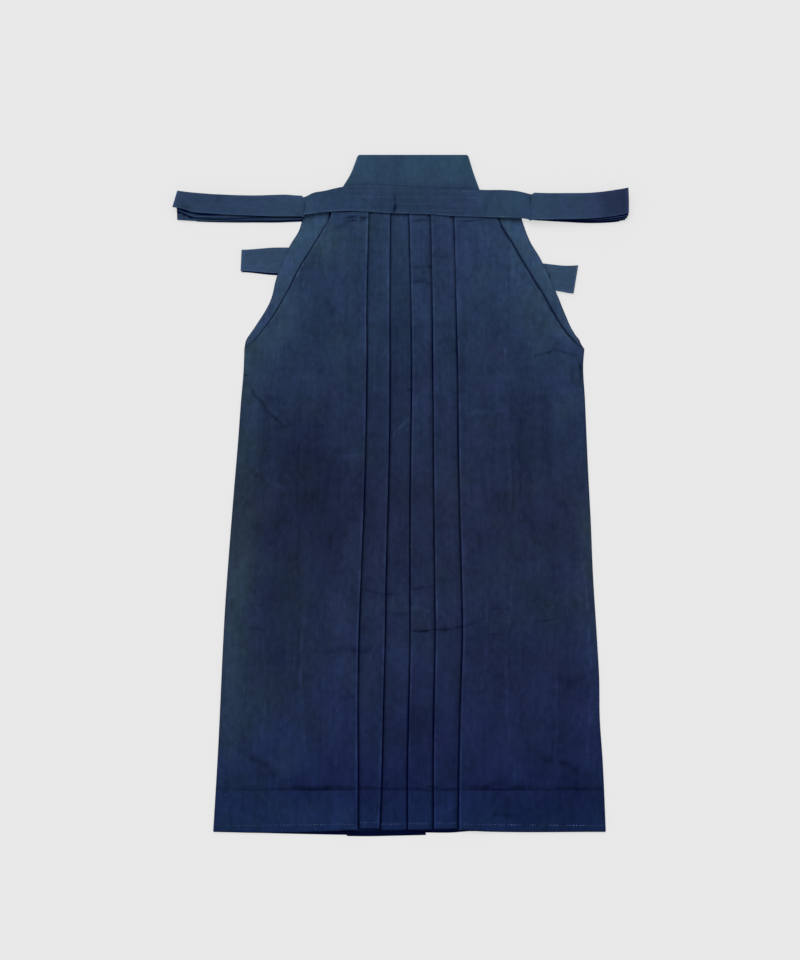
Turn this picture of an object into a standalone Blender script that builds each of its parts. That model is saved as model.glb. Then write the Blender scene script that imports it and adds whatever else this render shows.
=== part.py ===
"""Hakama trousers laid flat with the front up. Tables are in millimetres.

x runs to the viewer's right of the centre front, y from the hem toward the waist, z up from
the floor. Left and right in names are the wearer's, so the right leg lies at negative x.
"""

import math

import bpy
import numpy as np

mm = 0.001

wall = 1.0  # body cloth
hem_wall = 1.3  # body cloth where the hem is turned up inside
hem_depth = 59
gap = 0.3  # between pieces, and between the layers of one fold
strap_wall = 1.1
strap_pitch = strap_wall + gap
board_thickness = 5.0
waist_lift = 5.7  # the body above the board and the bundled back straps
lift_slope = (715, 806)
feed_drop = 4.2  # how far the back panels sink from there to the base of the board
feed_slope = (893, 952)
pleat_depth = 22  # under-fold of each pleat
panel_end = 970  # where the front panels stop inside the band
board_base = 961
hip = 722  # foot of the side slits
fold_steps = 4
settle_height = 45  # how high the sag of the hem reaches
climb_run = 33  # over which the outer front panel rises onto the pleats
climb_room = 2.2  # from the top of a rise to the fold it passes over
turn_reach = 1.0  # how far an under-fold turns past its depth
least_margin = 8.0  # of a back panel beside its slit
front_inset = 0.6  # of a front panel from the side seam
head_step = 5  # from the last row of a back panel to where the row at its head takes its width
lining_rise = 1  # of the lower edge of the band's back layer above that of its front layer
band_rise = (3, 38)  # from the outer pleats, where the band comes down to its thin ends
pleat_top = 945  # where the band crosses the pleats
station_spacing = 26  # along the straps

# Plan outlines: distance from the hem, then x.
side_seam = {
    "right": ((0, -277.3), (102, -274.4), (327, -270.2), (482, -263.4), (580, -258.4), (640, -255.9), (685, -253.5), (hip, -253.2)),
    "left": ((0, 275.9), (100, 275), (160, 273), (216, 274.2), (265, 273.2), (373, 270.3), (452, 269.8), (513, 268.7), (640, 267.4), (700, 266.8), (hip, 269.2)),
}
front_slit = {
    "right": ((hip, -250.5), (735, -238), (768, -213.3), (816, -187.4), (850, -172), (911, -138.4), (944, -123.2), (panel_end, -122.5)),
    "left": ((hip, 265), (743, 245.5), (814, 204.3), (867, 175.2), (889, 163.9), (936, 140.3), (panel_end, 134)),
}
back_slit = {
    "right": ((hip, -253.2), (736, -250.8), (753, -240.7), (798, -216.1), (842, -204.9), (888, -187.9), (919, -172.7), (941, -167.4), (951, -165.5)),
    "left": ((hip, 269.2), (730, 264.2), (736, 262.2), (744, 256.6), (785, 238.9), (814, 227.5), (864, 207.4), (903, 188.8), (938, 177.7), (949, 174.8)),
}
centre_seam = ((0, 22), (450, 8), (board_base, 5))

# Fold edges of the five pleats, right to left on the wearer.
pleat_edges = (
    # y, first, second, third, fourth, fifth
    (0, -73.0, -42.5, -3.5, 33.0, 68.0),
    (90, -73.8, -39.8, -3.0, 33.5, 70.0),
    (180, -74.8, -38.0, -1.0, 35.2, 73.0),
    (280, -74.0, -35.8, 1.2, 37.5, 77.2),
    (370, -71.2, -34.8, 1.2, 37.2, 76.6),
    (470, -68.0, -32.3, 1.5, 36.8, 75.0),
    (560, -66.3, -30.5, 2.5, 36.7, 74.2),
    (670, -65.0, -29.9, 4.2, 36.4, 74.5),
    (800, -65.4, -30.2, 3.0, 35.8, 72.5),
    (945, -63.0, -29.2, 0.0, 34.0, 70.5),
)

# How far each stretch of hem hangs past the hem line: x, then y.
front_hem = {
    "right": ((-276, 0), (-200, -2.5), (-90, -3.6)),
    "left": ((68, 2.2), (99, 0.8), (275, 0)),
}
strip_hem = {"right": (4.1, 2.2), "left": (6.0, 6.0)}
back_hem = {
    "right": ((-276, 1), (-200, -1.6), (-120, -3.5), (-86, -4.4), (-66, -5.9), (-20, -5.1), (22, -4.2)),
    "left": ((22, -0.8), (62, -0.7), (84, 1.1), (110, 0.3), (275, 1.5)),
}

# Waistband: x, then y. Board: distance from the hem, then x.
band_foot = ((-168, 941.5), (-125, 946.8), (-85, 946.9), (-29, 943.1), (33, 941.1), (69, 938.2), (137, 937.2), (168, 936.4), (181, 936.0), (192, 933.4))
band_head = ((-168, 972.6), (-163, 973.8), (-152, 979.8), (-133, 983.9), (-117, 988), (-105, 990.4), (33, 987.4), (112, 985.2), (156, 984.9), (169, 983.7), (192, 977.9))
board_side = {
    "right": ((board_base, -121), (993.4, -104.2), (1015.6, -92.3), (1029, -87.4), (1048.5, -81.2)),
    "left": ((board_base, 119.5), (986.5, 112.2), (1016.8, 102.6), (1048.5, 94.3)),
}

# Folded straps: the turning points of the middle line, and how the far folds drift toward the waist.
front_straps = {
    "right": {
        "width": 35.6,
        "turns": ((-168.6, 957.2), (-368.2, 957.2), (-171.4, 959.8), (-364.6, 948), (-171.4, 954), (-365, 943.4), (-171.2, 952), (-335, 944.6)),
        "drift_start": -215,
        "drift_run": 150,
        "drift": 9,
        "dip": 0,
        "narrowing": (200, 250, 0.06),
        "shoulder": 1.9,
        "ends": ((0.6, 3.4, 5.8), (0.6, 0, 6.5), (0.6, 0, 0), (0.6, 0, 0)),
    },
    "left": {
        "width": 43.8,
        "turns": ((192.8, 954.7), (344.6, 956.9), (197, 956.6), (344.3, 953.9), (197, 957.8), (344.3, 951.5), (197, 958.2), (344, 950), (198, 958.4), (336, 950)),
        "drift_start": 265,
        "drift_run": 80,
        "drift": 8.6,
        "dip": 2.6,
        "narrowing": (200, 260, 0),
        "shoulder": -0.7,
        "ends": ((0.4, -0.8, 0), (0.6, 0, 0), (1.4, 0, 0), (2.8, 0, 0), (4, 0, 0)),
    },
}
dip_run = 12  # along the first run of a strap, down to the layer at the band
shoulder_run = 30  # along the first run, from the root to the full width
bow_run = 24  # along the far end of a strap, where its corners stand back
tuck_run = 35  # along the far end, where the lower edge of a layer rises
most_bow = 1.3  # cap on how much further out than the corners a lower layer stands back
back_straps = {
    "right": {
        "turns": ((-105, 960.7), (-105, 867.8), (-261, 867.3), (-66, 861.8), (-260, 866.2)),
        "narrowing": (205, 262, 0.17),
        "lean": 0,
        "rise": 0,
    },
    "left": {
        "turns": ((103, 960.7), (103, 854.3), (259.7, 834), (138, 851), (248, 838.3)),
        "narrowing": (232, 262, -0.07),
        "lean": 1.5,
        "rise": 3.6,
    },
}
back_strap_width = 43
# Where the edge of a back panel rises over the back strap and comes down again.
strap_crossing = {"right": (810, 836, 897, 923), "left": (782, 806, 872, 900)}
crossing_lift = 0.76
# Head of a back panel: x of its outer corner, the drop there, and where the drop starts.
head_corner = {"right": (-165.5, 10.0, 122), "left": (174.8, 11.7, 122)}
band_stations = (-168, -158, -146, -124, -112, -100, -88, -45, 0, 45, 94, 106, 118, 130, 150, 170, 192)
board_rim = 1.2
board_corner = (3.0, 0.8)  # height and width of the rounded upper corners
board_rows = (975, 990, 1005, 1020, 1035)

common_rows = (0, 30, hem_depth - 1.5, hem_depth + 1.5, 110, 165, 220, 280, 340, 400, 460, 520, 585, 655, hip, 733, 745, 768, 790, 810)
front_rows = common_rows + (850, 895, 932, panel_end)
back_rows = common_rows + (830, 850, 872, 895, 908, 922, 938)


def curve(table, v, column=1):
    """Smooth curve through the rows of a table, read at v."""
    t = np.array([row[0] for row in table], float)
    p = np.array([row[column] for row in table], float)
    chord = np.diff(p) / np.diff(t)
    slope = np.empty(len(t))
    slope[0], slope[-1] = chord[0], chord[-1]
    slope[1:-1] = (chord[:-1] * np.diff(t)[1:] + chord[1:] * np.diff(t)[:-1]) / (t[2:] - t[:-2])
    v = min(max(v, t[0]), t[-1])
    i = min(np.searchsorted(t, v, side="right") - 1, len(t) - 2)
    span = t[i + 1] - t[i]
    u = (v - t[i]) / span
    return float(
        p[i] * (1 + 2 * u) * (1 - u) ** 2
        + slope[i] * span * u * (1 - u) ** 2
        + p[i + 1] * u * u * (3 - 2 * u)
        + slope[i + 1] * span * u * u * (u - 1)
    )


def smooth(start, end, v):
    u = min(max((v - start) / (end - start), 0), 1)
    return u * u * (3 - 2 * u)


def thickness(y):
    return hem_wall if y < hem_depth else wall


def front_lift(y):
    return waist_lift * smooth(*lift_slope, y)


def back_lift(y):
    return front_lift(y) - feed_drop * smooth(*feed_slope, y)


def front_edge(side, y):
    inset = front_inset if side == "right" else -front_inset
    return curve(side_seam[side], y) + inset if y <= hip else curve(front_slit[side], y)


def back_edge(side, y):
    return curve(side_seam[side], y) if y <= hip else curve(back_slit[side], y)


def offset(line, reach):
    """The open line moved sideways by reach, to the left of its own direction."""
    line = np.asarray(line, float)
    step = np.diff(line, axis=0)
    step /= np.linalg.norm(step, axis=1)[:, None]
    normal = np.stack([-step[:, 1], step[:, 0]], axis=1)
    first, last = np.vstack([normal[:1], normal]), np.vstack([normal, normal[-1:]])
    mitre = (first + last) / (1 + (first * last).sum(axis=1))[:, None]
    return line + mitre * reach


def material(name, colour, roughness):
    made = bpy.data.materials.new(name)
    made.use_nodes = True
    shader = made.node_tree.nodes["Principled BSDF"]
    shader.inputs["Base Color"].default_value = (*colour, 1)
    shader.inputs["Roughness"].default_value = roughness
    return made


def sheet(name, upper, lower, colour, flip=False):
    """One closed solid between two grids of points of the same shape."""
    upper, lower = np.asarray(upper, float), np.asarray(lower, float)
    rows, cols = upper.shape[:2]
    points = np.vstack([upper.reshape(-1, 3), lower.reshape(-1, 3)])

    def at(layer, i, j):
        return layer * rows * cols + i * cols + j

    faces = []
    for i in range(rows - 1):
        for j in range(cols - 1):
            faces.append((at(0, i, j), at(0, i, j + 1), at(0, i + 1, j + 1), at(0, i + 1, j)))
            faces.append((at(1, i, j), at(1, i + 1, j), at(1, i + 1, j + 1), at(1, i, j + 1)))
    for i in range(rows - 1):
        faces.append((at(0, i, 0), at(0, i + 1, 0), at(1, i + 1, 0), at(1, i, 0)))
        faces.append((at(0, i, cols - 1), at(1, i, cols - 1), at(1, i + 1, cols - 1), at(0, i + 1, cols - 1)))
    for j in range(cols - 1):
        faces.append((at(0, 0, j), at(1, 0, j), at(1, 0, j + 1), at(0, 0, j + 1)))
        faces.append((at(0, rows - 1, j), at(0, rows - 1, j + 1), at(1, rows - 1, j + 1), at(1, rows - 1, j)))
    if flip:
        faces = [face[::-1] for face in faces]
    mesh = bpy.data.meshes.new(name)
    mesh.from_pydata((points * mm).tolist(), [], faces)
    mesh.materials.append(material(name + "_cloth", colour, 0.85))
    mesh.shade_smooth()
    made = bpy.data.objects.new(name, mesh)
    garment.objects.link(made)
    return made


def turn(x, low, high, reach, outward, downward):
    """Points of a half turn between two layers. It reaches x at its furthest, on the outward side."""
    radius = (high - low) / 2
    centre = x - outward * reach
    angles = [math.pi / 2 - math.pi * k / fold_steps for k in range(fold_steps + 1)]
    arc = [(centre + outward * radius * math.cos(a), (low + high) / 2 + radius * math.sin(a)) for a in angles]
    return arc if downward else arc[::-1]


def ramp(x0, z0, x1, z1):
    return [(x0 + (x1 - x0) * k / 3, z0 + (z1 - z0) * smooth(0, 3, k)) for k in range(4)]


def front_line(side, y):
    """Middle line of a front panel across the body at this distance from the hem, and the drop of its hem."""
    out = -1 if side == "right" else 1  # toward the side seam
    t = thickness(y)
    levels = [t + gap + front_lift(y) + t / 2 + (t + gap) * k for k in range(3)]
    low, mid, high = levels
    reach = (t + gap) / 2 + t / 2
    edges = [curve(pleat_edges, y, column) for column in range(1, 6)]
    chain = edges[:2] if side == "right" else edges[:1:-1]
    inner_end = edges[2] + pleat_depth
    outer = front_edge(side, y)

    def panel_drop(x):
        return curve(front_hem[side], x)

    foot = chain[0] + out * (pleat_depth + climb_run)
    line = [(outer + (foot - outer) * k / 3, low) for k in range(3)]
    line += ramp(foot, low, chain[0] + out * (pleat_depth + climb_room), high)
    line = [(x, z, panel_drop(x)) for x, z in line]
    drop = panel_drop(chain[0])
    for number, edge in enumerate(chain):
        line += [(x, z, drop) for x, z in turn(edge, mid, high, reach, -out, True)]
        last = side == "left" and number == len(chain) - 1
        if last:
            line.append((inner_end, mid, drop))
            break
        under = edge + out * pleat_depth
        drop = strip_hem[side][min(number, 1)]
        line += [(x, z, drop) for x, z in turn(under + out * turn_reach, low, mid, reach, out, True)]
        if number + 1 < len(chain):
            following = chain[number + 1]
            climb = ramp(edge - out * gap, low, following + out * (pleat_depth + climb_room), high)
            line += [(x, z, drop) for x, z in climb]
        else:
            line.append((inner_end, low, drop))
    return line


def front_leg(side, colour):
    upper, lower = [], []
    for y in front_rows:
        line = front_line(side, y)
        middle = [point[:2] for point in line]
        settle = 1 - smooth(0, settle_height, y)
        grids = (upper, lower)
        for grid, reach in zip(grids, (thickness(y) / 2, -thickness(y) / 2)):
            moved = offset(middle, reach if side == "right" else -reach)
            grid.append([(x, y + drop * settle, z) for (x, z), (_, _, drop) in zip(moved, line)])
    return sheet("front_leg_" + side, upper, lower, colour, flip=side == "left")


def over_straps(side, y):
    """Share of the lift that the edge of a back panel keeps, where the back strap comes out under it."""
    foot, low, high, head = strap_crossing[side]
    return crossing_lift * smooth(foot, low, y) * (1 - smooth(high, head, y))


def back_leg(side, colour):
    out = -1 if side == "right" else 1
    corner_x, corner_drop, corner_start = head_corner[side]
    upper, lower = [], []
    for y in (*back_rows, None):
        head = y is None
        y = back_rows[-1] + head_step if head else y
        edge = back_edge(side, y)
        shown = max(least_margin, (edge - curve(front_slit[side], y)) * out) if y > hip else least_margin
        seam = curve(centre_seam, y) + out * gap / 2
        margin = edge - out * shown
        columns = [edge - out * shown * k / 3 for k in range(4)]
        columns += [margin + (seam - margin) * k / 4 for k in range(1, 5)]
        settle = 1 - smooth(0, settle_height, y)
        row_up, row_low = [], []
        for x in columns:
            fall = smooth(0, shown, (x - margin) * out)
            at = y + curve(back_hem[side], x) * settle
            if head:
                at = board_base - gap - corner_drop * smooth(corner_start, corner_x * out, x * out)
            lift = back_lift(at if head else y) * (1 - fall * (1 - over_straps(side, y)))
            row_low.append((x, at, lift))
            row_up.append((x, at, lift + thickness(y)))
        upper.append(row_up)
        lower.append(row_low)
    return sheet("back_leg_" + side, upper, lower, colour, flip=side == "left")


def front_band(colour):
    """A folded strip: its front layer, the fold at the head and its back layer, round the tops of the panels."""
    base = front_lift(panel_end) + wall + gap
    back_layer = base - gap - wall / 2
    thin, thick = base + wall + gap + wall / 2, base + 3 * (wall + gap) + wall / 2
    near, far = (pleat_depth + reach for reach in band_rise)
    first, last = curve(pleat_edges, pleat_top, 1), curve(pleat_edges, pleat_top, 5)
    upper, lower = [], []
    for x in band_stations:
        foot, head = curve(band_foot, x), curve(band_head, x)
        swell = smooth(first - far, first - near, x) * (1 - smooth(last + near, last + far, x))
        front_layer = thin + (thick - thin) * swell
        radius = (front_layer - back_layer) / 2
        crown = head - radius - wall / 2
        line = [(foot, front_layer), ((foot + crown) / 2, front_layer)]
        for k in range(fold_steps + 1):
            a = math.pi / 2 - math.pi * k / fold_steps
            line.append((crown + radius * math.cos(a), (front_layer + back_layer) / 2 + radius * math.sin(a)))
        line += [((foot + crown) / 2, back_layer), (foot + lining_rise, back_layer)]
        upper.append([(x, y, z) for y, z in offset(line, wall / 2)])
        lower.append([(x, y, z) for y, z in offset(line, -wall / 2)])
    return sheet("front_band", upper, lower, colour, flip=True)


def back_board(colour):
    """The stiff board at the back waist, a cloth-covered plate with soft rims."""
    rim = board_rim
    corner, corner_width = board_corner
    head = board_side["right"][-1][0]
    rows = [(board_base, True), (board_base + rim, False)]
    rows += [(y, False) for y in board_rows]
    rows += [(head - corner, False), (head - rim, False), (head, True)]
    upper, lower = [], []
    for y, end in rows:
        left, right = curve(board_side["right"], y), curve(board_side["left"], y)
        inset = corner * (1 - math.sqrt(1 - min(1, max(0, (y - head + corner) / corner)) ** 2)) * corner_width
        left, right = left + inset, right - inset
        columns = [left, left + rim, (left + right) / 2, right - rim, right]
        high = [board_thickness - rim if end or k in (0, 4) else board_thickness for k in range(5)]
        low = [rim if end or k in (0, 4) else 0 for k in range(5)]
        upper.append([(x, y, z) for x, z in zip(columns, high)])
        lower.append([(x, y, z) for x, z in zip(columns, low)])
    return sheet("back_board", upper, lower, colour)


def folded_strap(name, turns, width, colour, height, warp):
    """A flat strap laid along the turns, folded over at each one and onto the layer below.

    height gives the middle of the strap over a point of one run, and warp moves a point of it in plan.
    """
    turns = [np.array(point, float) for point in turns]
    headings = [(b - a) / np.linalg.norm(b - a) for a, b in zip(turns, turns[1:])]
    side = np.array((-headings[0][1], headings[0][0]))
    face = 1.0  # which way the strap's own upper face looks
    upper, lower = [], []

    def station(run, points, middles, normal):
        above, below = [], []
        for point, middle in zip(points, middles):
            x, y = point + normal[:2] * strap_wall / 2
            above.append((*warp(run, x, y), middle + normal[2] * strap_wall / 2))
            x, y = point - normal[:2] * strap_wall / 2
            below.append((*warp(run, x, y), middle - normal[2] * strap_wall / 2))
        upper.append(above)
        lower.append(below)

    widths = (-width / 2, 0, width / 2)
    slant = 0.0
    for run, heading in enumerate(headings):
        last = run == len(headings) - 1
        length = np.linalg.norm(turns[run + 1] - turns[run])
        if last:
            next_slant = 0.0
        else:
            outward = heading - headings[run + 1]
            outward /= np.linalg.norm(outward)
            line = np.array((-outward[1], outward[0]))
            next_slant = float(line @ heading) / float(line @ side)
        steps = max(3, round(length / station_spacing * (1 if run else 2)))
        for k in range(steps + 1):
            u = k / steps
            points = [turns[run] + heading * (length * u + w * (slant + (next_slant - slant) * u)) + side * w for w in widths]
            station(run, points, [height(run, *point) for point in points], np.array((0, 0, face)))
        if last:
            break
        points = [turns[run + 1] + heading * w * next_slant + side * w for w in widths]
        high = [height(run, *point) for point in points]
        low = [height(run + 1, *point) for point in points]
        for k in range(1, fold_steps):
            a = math.pi * k / fold_steps
            moved = [point + outward * strap_pitch / 2 * math.sin(a) for point in points]
            middles = [(h + l) / 2 + (h - l) / 2 * math.cos(a) for h, l in zip(high, low)]
            station(run, moved, middles, face * np.array((*(outward * math.sin(a)), math.cos(a))))
        side = 2 * float(line @ side) * line - side
        slant = float(line @ headings[run + 1]) / float(line @ side)
        face = -face
    return sheet(name, upper, lower, colour, flip=True)


def front_strap(side, colour):
    """From the end of the band outward, folded up to and fro with the first run on top.

    Each pair of runs shares a far fold, whose corners stand back by the bow and the lean.
    """
    strap = front_straps[side]
    out = -1 if side == "right" else 1
    turns = strap["turns"]
    layers = len(turns) - 1
    root, level = turns[0][0] * out, turns[0][1]
    tip = turns[1][0] * out
    start, end, share = strap["narrowing"]

    def height(run, x, y):
        middle = strap_wall / 2 + (layers - 1 - run) * strap_pitch
        return middle - (strap["dip"] * (1 - smooth(root, root + dip_run, x * out)) if run == 0 else 0)

    def warp(run, x, y):
        bow, lean, tuck = strap["ends"][run // 2]
        far = x * out
        aside = (y - level) / (strap["width"] / 2)
        back = bow * min(aside * aside, most_bow) + lean * min(max(aside, -1), 1)
        rise = strap["drift"] * (max(0, (x - strap["drift_start"]) * out) / strap["drift_run"]) ** 2
        rise += tuck * max(0, -aside) * smooth(tip - tuck_run, tip, far)
        rise -= strap["shoulder"] * max(0, aside) * (1 - smooth(root, root + shoulder_run, far))
        y = level + (y - level) * (1 - share * smooth(start, end, far))
        return x - back * smooth(tip - bow_run, tip, far) * out, y + rise

    return folded_strap("front_strap_" + side, turns, strap["width"], colour, height, warp)


def back_strap(side, colour):
    """From the corner of the board down under the back panel, then turned outward and folded up."""
    strap = back_straps[side]
    turns = strap["turns"]
    layers = len(turns) - 1
    level = turns[1][1]
    start, end, share = strap["narrowing"]

    def height(run, x, y):
        middle = strap_wall / 2 + (layers - 1 - run) * strap_pitch
        return middle - (feed_drop * smooth(*feed_slope, y) if run == 0 else 0)

    def warp(run, x, y):
        aside = (y - level) / (back_strap_width / 2)
        far = smooth(start, end, abs(x))
        rise = strap["rise"] * max(0, (abs(x) - start) / (end - start)) ** 2
        return x + strap["lean"] * aside * far * math.copysign(1, x), level + (y - level) * (1 - share * far) + rise

    return folded_strap("back_strap_" + side, turns, back_strap_width, colour, height, warp)


bpy.data.objects.remove(bpy.data.objects["Cube"])
garment = bpy.data.collections.new("hakama_trousers")
bpy.context.scene.collection.children.link(garment)

body = (0.022, 0.033, 0.075)
trim = (0.028, 0.048, 0.095)
for wearer in ("right", "left"):
    back_leg(wearer, body)
    front_leg(wearer, body)
    back_strap(wearer, trim)
    front_strap(wearer, trim)
front_band(trim)
back_board(trim)

# The origin goes to the middle of the underside of the whole garment.
pieces = list(garment.objects)
ends = np.array([vertex.co for piece in pieces for vertex in piece.data.vertices])
middle = (ends.max(axis=0) + ends.min(axis=0)) / 2
for piece in pieces:
    for vertex in piece.data.vertices:
        vertex.co.x -= middle[0]
        vertex.co.y -= middle[1]
        vertex.co.z -= ends[:, 2].min()
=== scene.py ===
import math

import bpy
import numpy as np
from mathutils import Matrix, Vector, noise
from mathutils.bvhtree import BVHTree


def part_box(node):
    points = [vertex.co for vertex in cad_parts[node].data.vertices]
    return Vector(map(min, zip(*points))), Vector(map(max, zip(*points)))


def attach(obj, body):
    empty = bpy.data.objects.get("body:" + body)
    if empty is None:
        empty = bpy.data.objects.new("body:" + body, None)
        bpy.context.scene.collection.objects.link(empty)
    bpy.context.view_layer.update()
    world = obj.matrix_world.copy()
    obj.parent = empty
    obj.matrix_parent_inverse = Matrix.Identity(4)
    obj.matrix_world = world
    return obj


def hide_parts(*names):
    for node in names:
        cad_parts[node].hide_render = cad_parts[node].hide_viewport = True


# Hakama trousers laid flat with the front up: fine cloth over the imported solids.
# Tables are in millimetres: x to the right from the centre front, y from the hem toward the waist,
# z above the floor. Left and right in names are the wearer's, so the right leg lies at negative x.

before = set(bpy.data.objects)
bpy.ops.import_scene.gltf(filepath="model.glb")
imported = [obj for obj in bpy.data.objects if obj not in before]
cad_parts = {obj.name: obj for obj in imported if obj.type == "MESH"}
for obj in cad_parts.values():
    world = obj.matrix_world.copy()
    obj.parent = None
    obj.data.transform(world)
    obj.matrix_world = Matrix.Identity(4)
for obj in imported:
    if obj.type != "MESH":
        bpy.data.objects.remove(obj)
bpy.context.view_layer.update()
bpy.ops.object.select_all(action="DESELECT")
print("frame loaded:", len(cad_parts), "solids")

mm = 0.001
outward = {"right": -1, "left": 1}  # which way x runs from the centre front to each side

# The cut of the garment, the same as that of the solids.
solid = {
    "wall": 1.0,
    "hemWall": 1.3,  # where the hem is turned up inside
    "hemDepth": 59,
    "hemTurn": (57.5, 60.5),  # y over which the wall goes from one to the other
    "gap": 0.3,
    "strapWall": 1.1,
    "boardThickness": 5.0,
    "waistLift": 5.7,  # how far the bundled back straps lift the waist
    "liftSlope": (715, 806),
    "feedDrop": 4.2,  # how far the back comes down again under the board
    "feedSlope": (893, 952),
    "sideInset": 0.6,  # from the back panel's side seam to the front panel's
    "pleatDepth": 22,
    "settleHeight": 45,  # the hem's steps fade out this far up
    "climbRun": 33,  # reach over which a panel climbs onto its own pleat
    "climbRoom": 2.2,
    "turnReach": 1.0,
    "leastMargin": 8.0,
    "panelEnd": 970,
    "boardBase": 961,
    "hip": 722,
}
wall, gap, hip = solid["wall"], solid["gap"], solid["hip"]

sideSeam = {
    "right": (
        (0, -277.3), (102, -274.4), (327, -270.2), (482, -263.4), (580, -258.4), (640, -255.9),
        (685, -253.5), (hip, -253.2),
    ),
    "left": (
        (0, 275.9), (100, 275), (160, 273), (216, 274.2), (265, 273.2), (373, 270.3), (452, 269.8),
        (513, 268.7), (640, 267.4), (700, 266.8), (hip, 269.2),
    ),
}
frontSlit = {
    "right": (
        (hip, -250.5), (735, -238), (768, -213.3), (816, -187.4), (850, -172), (911, -138.4),
        (944, -123.2), (970, -122.5),
    ),
    "left": ((hip, 265), (743, 245.5), (814, 204.3), (867, 175.2), (889, 163.9), (936, 140.3), (970, 134)),
}
backSlit = {
    "right": (
        (hip, -253.2), (736, -250.8), (753, -240.7), (798, -216.1), (842, -204.9), (888, -187.9),
        (919, -172.7), (941, -167.4), (951, -165.5),
    ),
    "left": (
        (hip, 269.2), (730, 264.2), (736, 262.2), (744, 256.6), (785, 238.9), (814, 227.5), (864, 207.4),
        (903, 188.8), (938, 177.7), (949, 174.8),
    ),
}
centreSeam = ((0, 22), (450, 8), (961, 5))
pleatEdges = (  # y, then the fold edges of the five pleats
    (0, -73.0, -42.5, -3.5, 33.0, 68.0),
    (90, -73.8, -39.8, -3.0, 33.5, 70.0),
    (180, -74.8, -38.0, -1.0, 35.2, 73.0),
    (280, -74.0, -35.8, 1.2, 37.5, 77.2),
    (370, -71.2, -34.8, 1.2, 37.2, 76.6),
    (470, -68.0, -32.3, 1.5, 36.8, 75.0),
    (560, -66.3, -30.5, 2.5, 36.7, 74.2),
    (670, -65.0, -29.9, 4.2, 36.4, 74.5),
    (800, -65.4, -30.2, 3.0, 35.8, 72.5),
    (945, -63.0, -29.2, 0.0, 34.0, 70.5),
)
frontHem = {
    "right": ((-276, 0), (-200, -1.4), (-150, -0.6), (-90, 1.6), (-73, 2.2)),
    "left": ((68, 2.2), (99, 0.8), (275, 0)),
}
stripHem = {"right": (4.1, 2.2), "left": (3.6, 2.6)}
backHem = {
    "right": ((-276, 1), (-200, -1.6), (-120, -3.4), (-86, -4.0), (-66, -4.3), (-20, -3.5), (22, -2.6)),
    "left": ((22, -0.8), (62, -0.7), (84, 1.1), (110, 0.3), (275, 1.5)),
}
hemStep = {"right": (-88.8, 1.6), "left": (22, 0)}  # from this x on the back hem hangs this much lower
bandFoot = (
    (-168, 941.5), (-125, 946.8), (-85, 946.9), (-29, 943.1), (33, 941.1), (69, 938.2), (137, 937.2),
    (168, 936.4), (181, 936.0), (192, 933.4),
)
bandHead = (
    (-168, 972.6), (-163, 973.8), (-152, 979.8), (-133, 983.9), (-117, 988), (-105, 990.4), (33, 987.4),
    (112, 985.2), (156, 984.9), (169, 983.7), (192, 977.9),
)
boardSide = {
    "right": ((961, -121), (993.4, -104.2), (1015.6, -92.3), (1029, -87.4), (1048.5, -81.2)),
    "left": ((961, 119.5), (986.5, 112.2), (1016.8, 102.6), (1048.5, 94.3)),
}
strapCrossing = {"right": (810, 836, 897, 923), "left": (782, 806, 872, 900)}  # y, under the back panels
headCorner = {"right": (-165.5, 10.0, 122), "left": (174.8, 11.7, 122)}  # x, its drop, and where that starts
rimSteps = (0, 0.12, 0.35, 0.8)  # distances from an edge where the cloth rounds off

# where x = 0 and y = 0 of the tables lie in the frame
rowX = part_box("back_leg_right")[0].x - sideSeam["right"][0][1] * mm
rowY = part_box("back_board")[1].y - boardSide["right"][-1][0] * mm


def curve(table, v, column=1):  # smooth curve through the rows of a table, read at v
    t = np.array([row[0] for row in table], float)
    p = np.array([row[column] for row in table], float)
    chord = np.diff(p) / np.diff(t)
    slope = np.empty(len(t))
    slope[0], slope[-1] = chord[0], chord[-1]
    slope[1:-1] = (chord[:-1] * np.diff(t)[1:] + chord[1:] * np.diff(t)[:-1]) / (t[2:] - t[:-2])
    v = np.clip(np.asarray(v, float), t[0], t[-1])
    i = np.clip(np.searchsorted(t, v, side="right") - 1, 0, len(t) - 2)
    span = t[i + 1] - t[i]
    u = (v - t[i]) / span
    return (
        p[i] * (1 + 2 * u) * (1 - u) ** 2
        + slope[i] * span * u * (1 - u) ** 2
        + p[i + 1] * u * u * (3 - 2 * u)
        + slope[i + 1] * span * u * u * (u - 1)
    )


def smooth(start, end, v):  # 0 before start, 1 after end
    u = np.clip((np.asarray(v, float) - start) / (end - start), 0, 1)
    return u * u * (3 - 2 * u)


def bell(v, width):
    return np.exp(-((v / width) ** 2))


def solidWallAt(y):
    return wall + (solid["hemWall"] - wall) * (1 - smooth(*solid["hemTurn"], y))


def frontLift(y):
    return solid["waistLift"] * smooth(*solid["liftSlope"], y)


def backLift(y):
    return frontLift(y) - solid["feedDrop"] * smooth(*solid["feedSlope"], y)


def frontEdge(side, y):
    if y > hip:
        return curve(frontSlit[side], y)
    return curve(sideSeam[side], y) - solid["sideInset"] * outward[side]


def backEdge(side, y):
    return curve(sideSeam[side] if y <= hip else backSlit[side], y)


def placed(name, mesh):
    mesh.shade_smooth()
    made = bpy.data.objects.new(name, mesh)
    bpy.context.scene.collection.objects.link(made)
    return made


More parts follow.
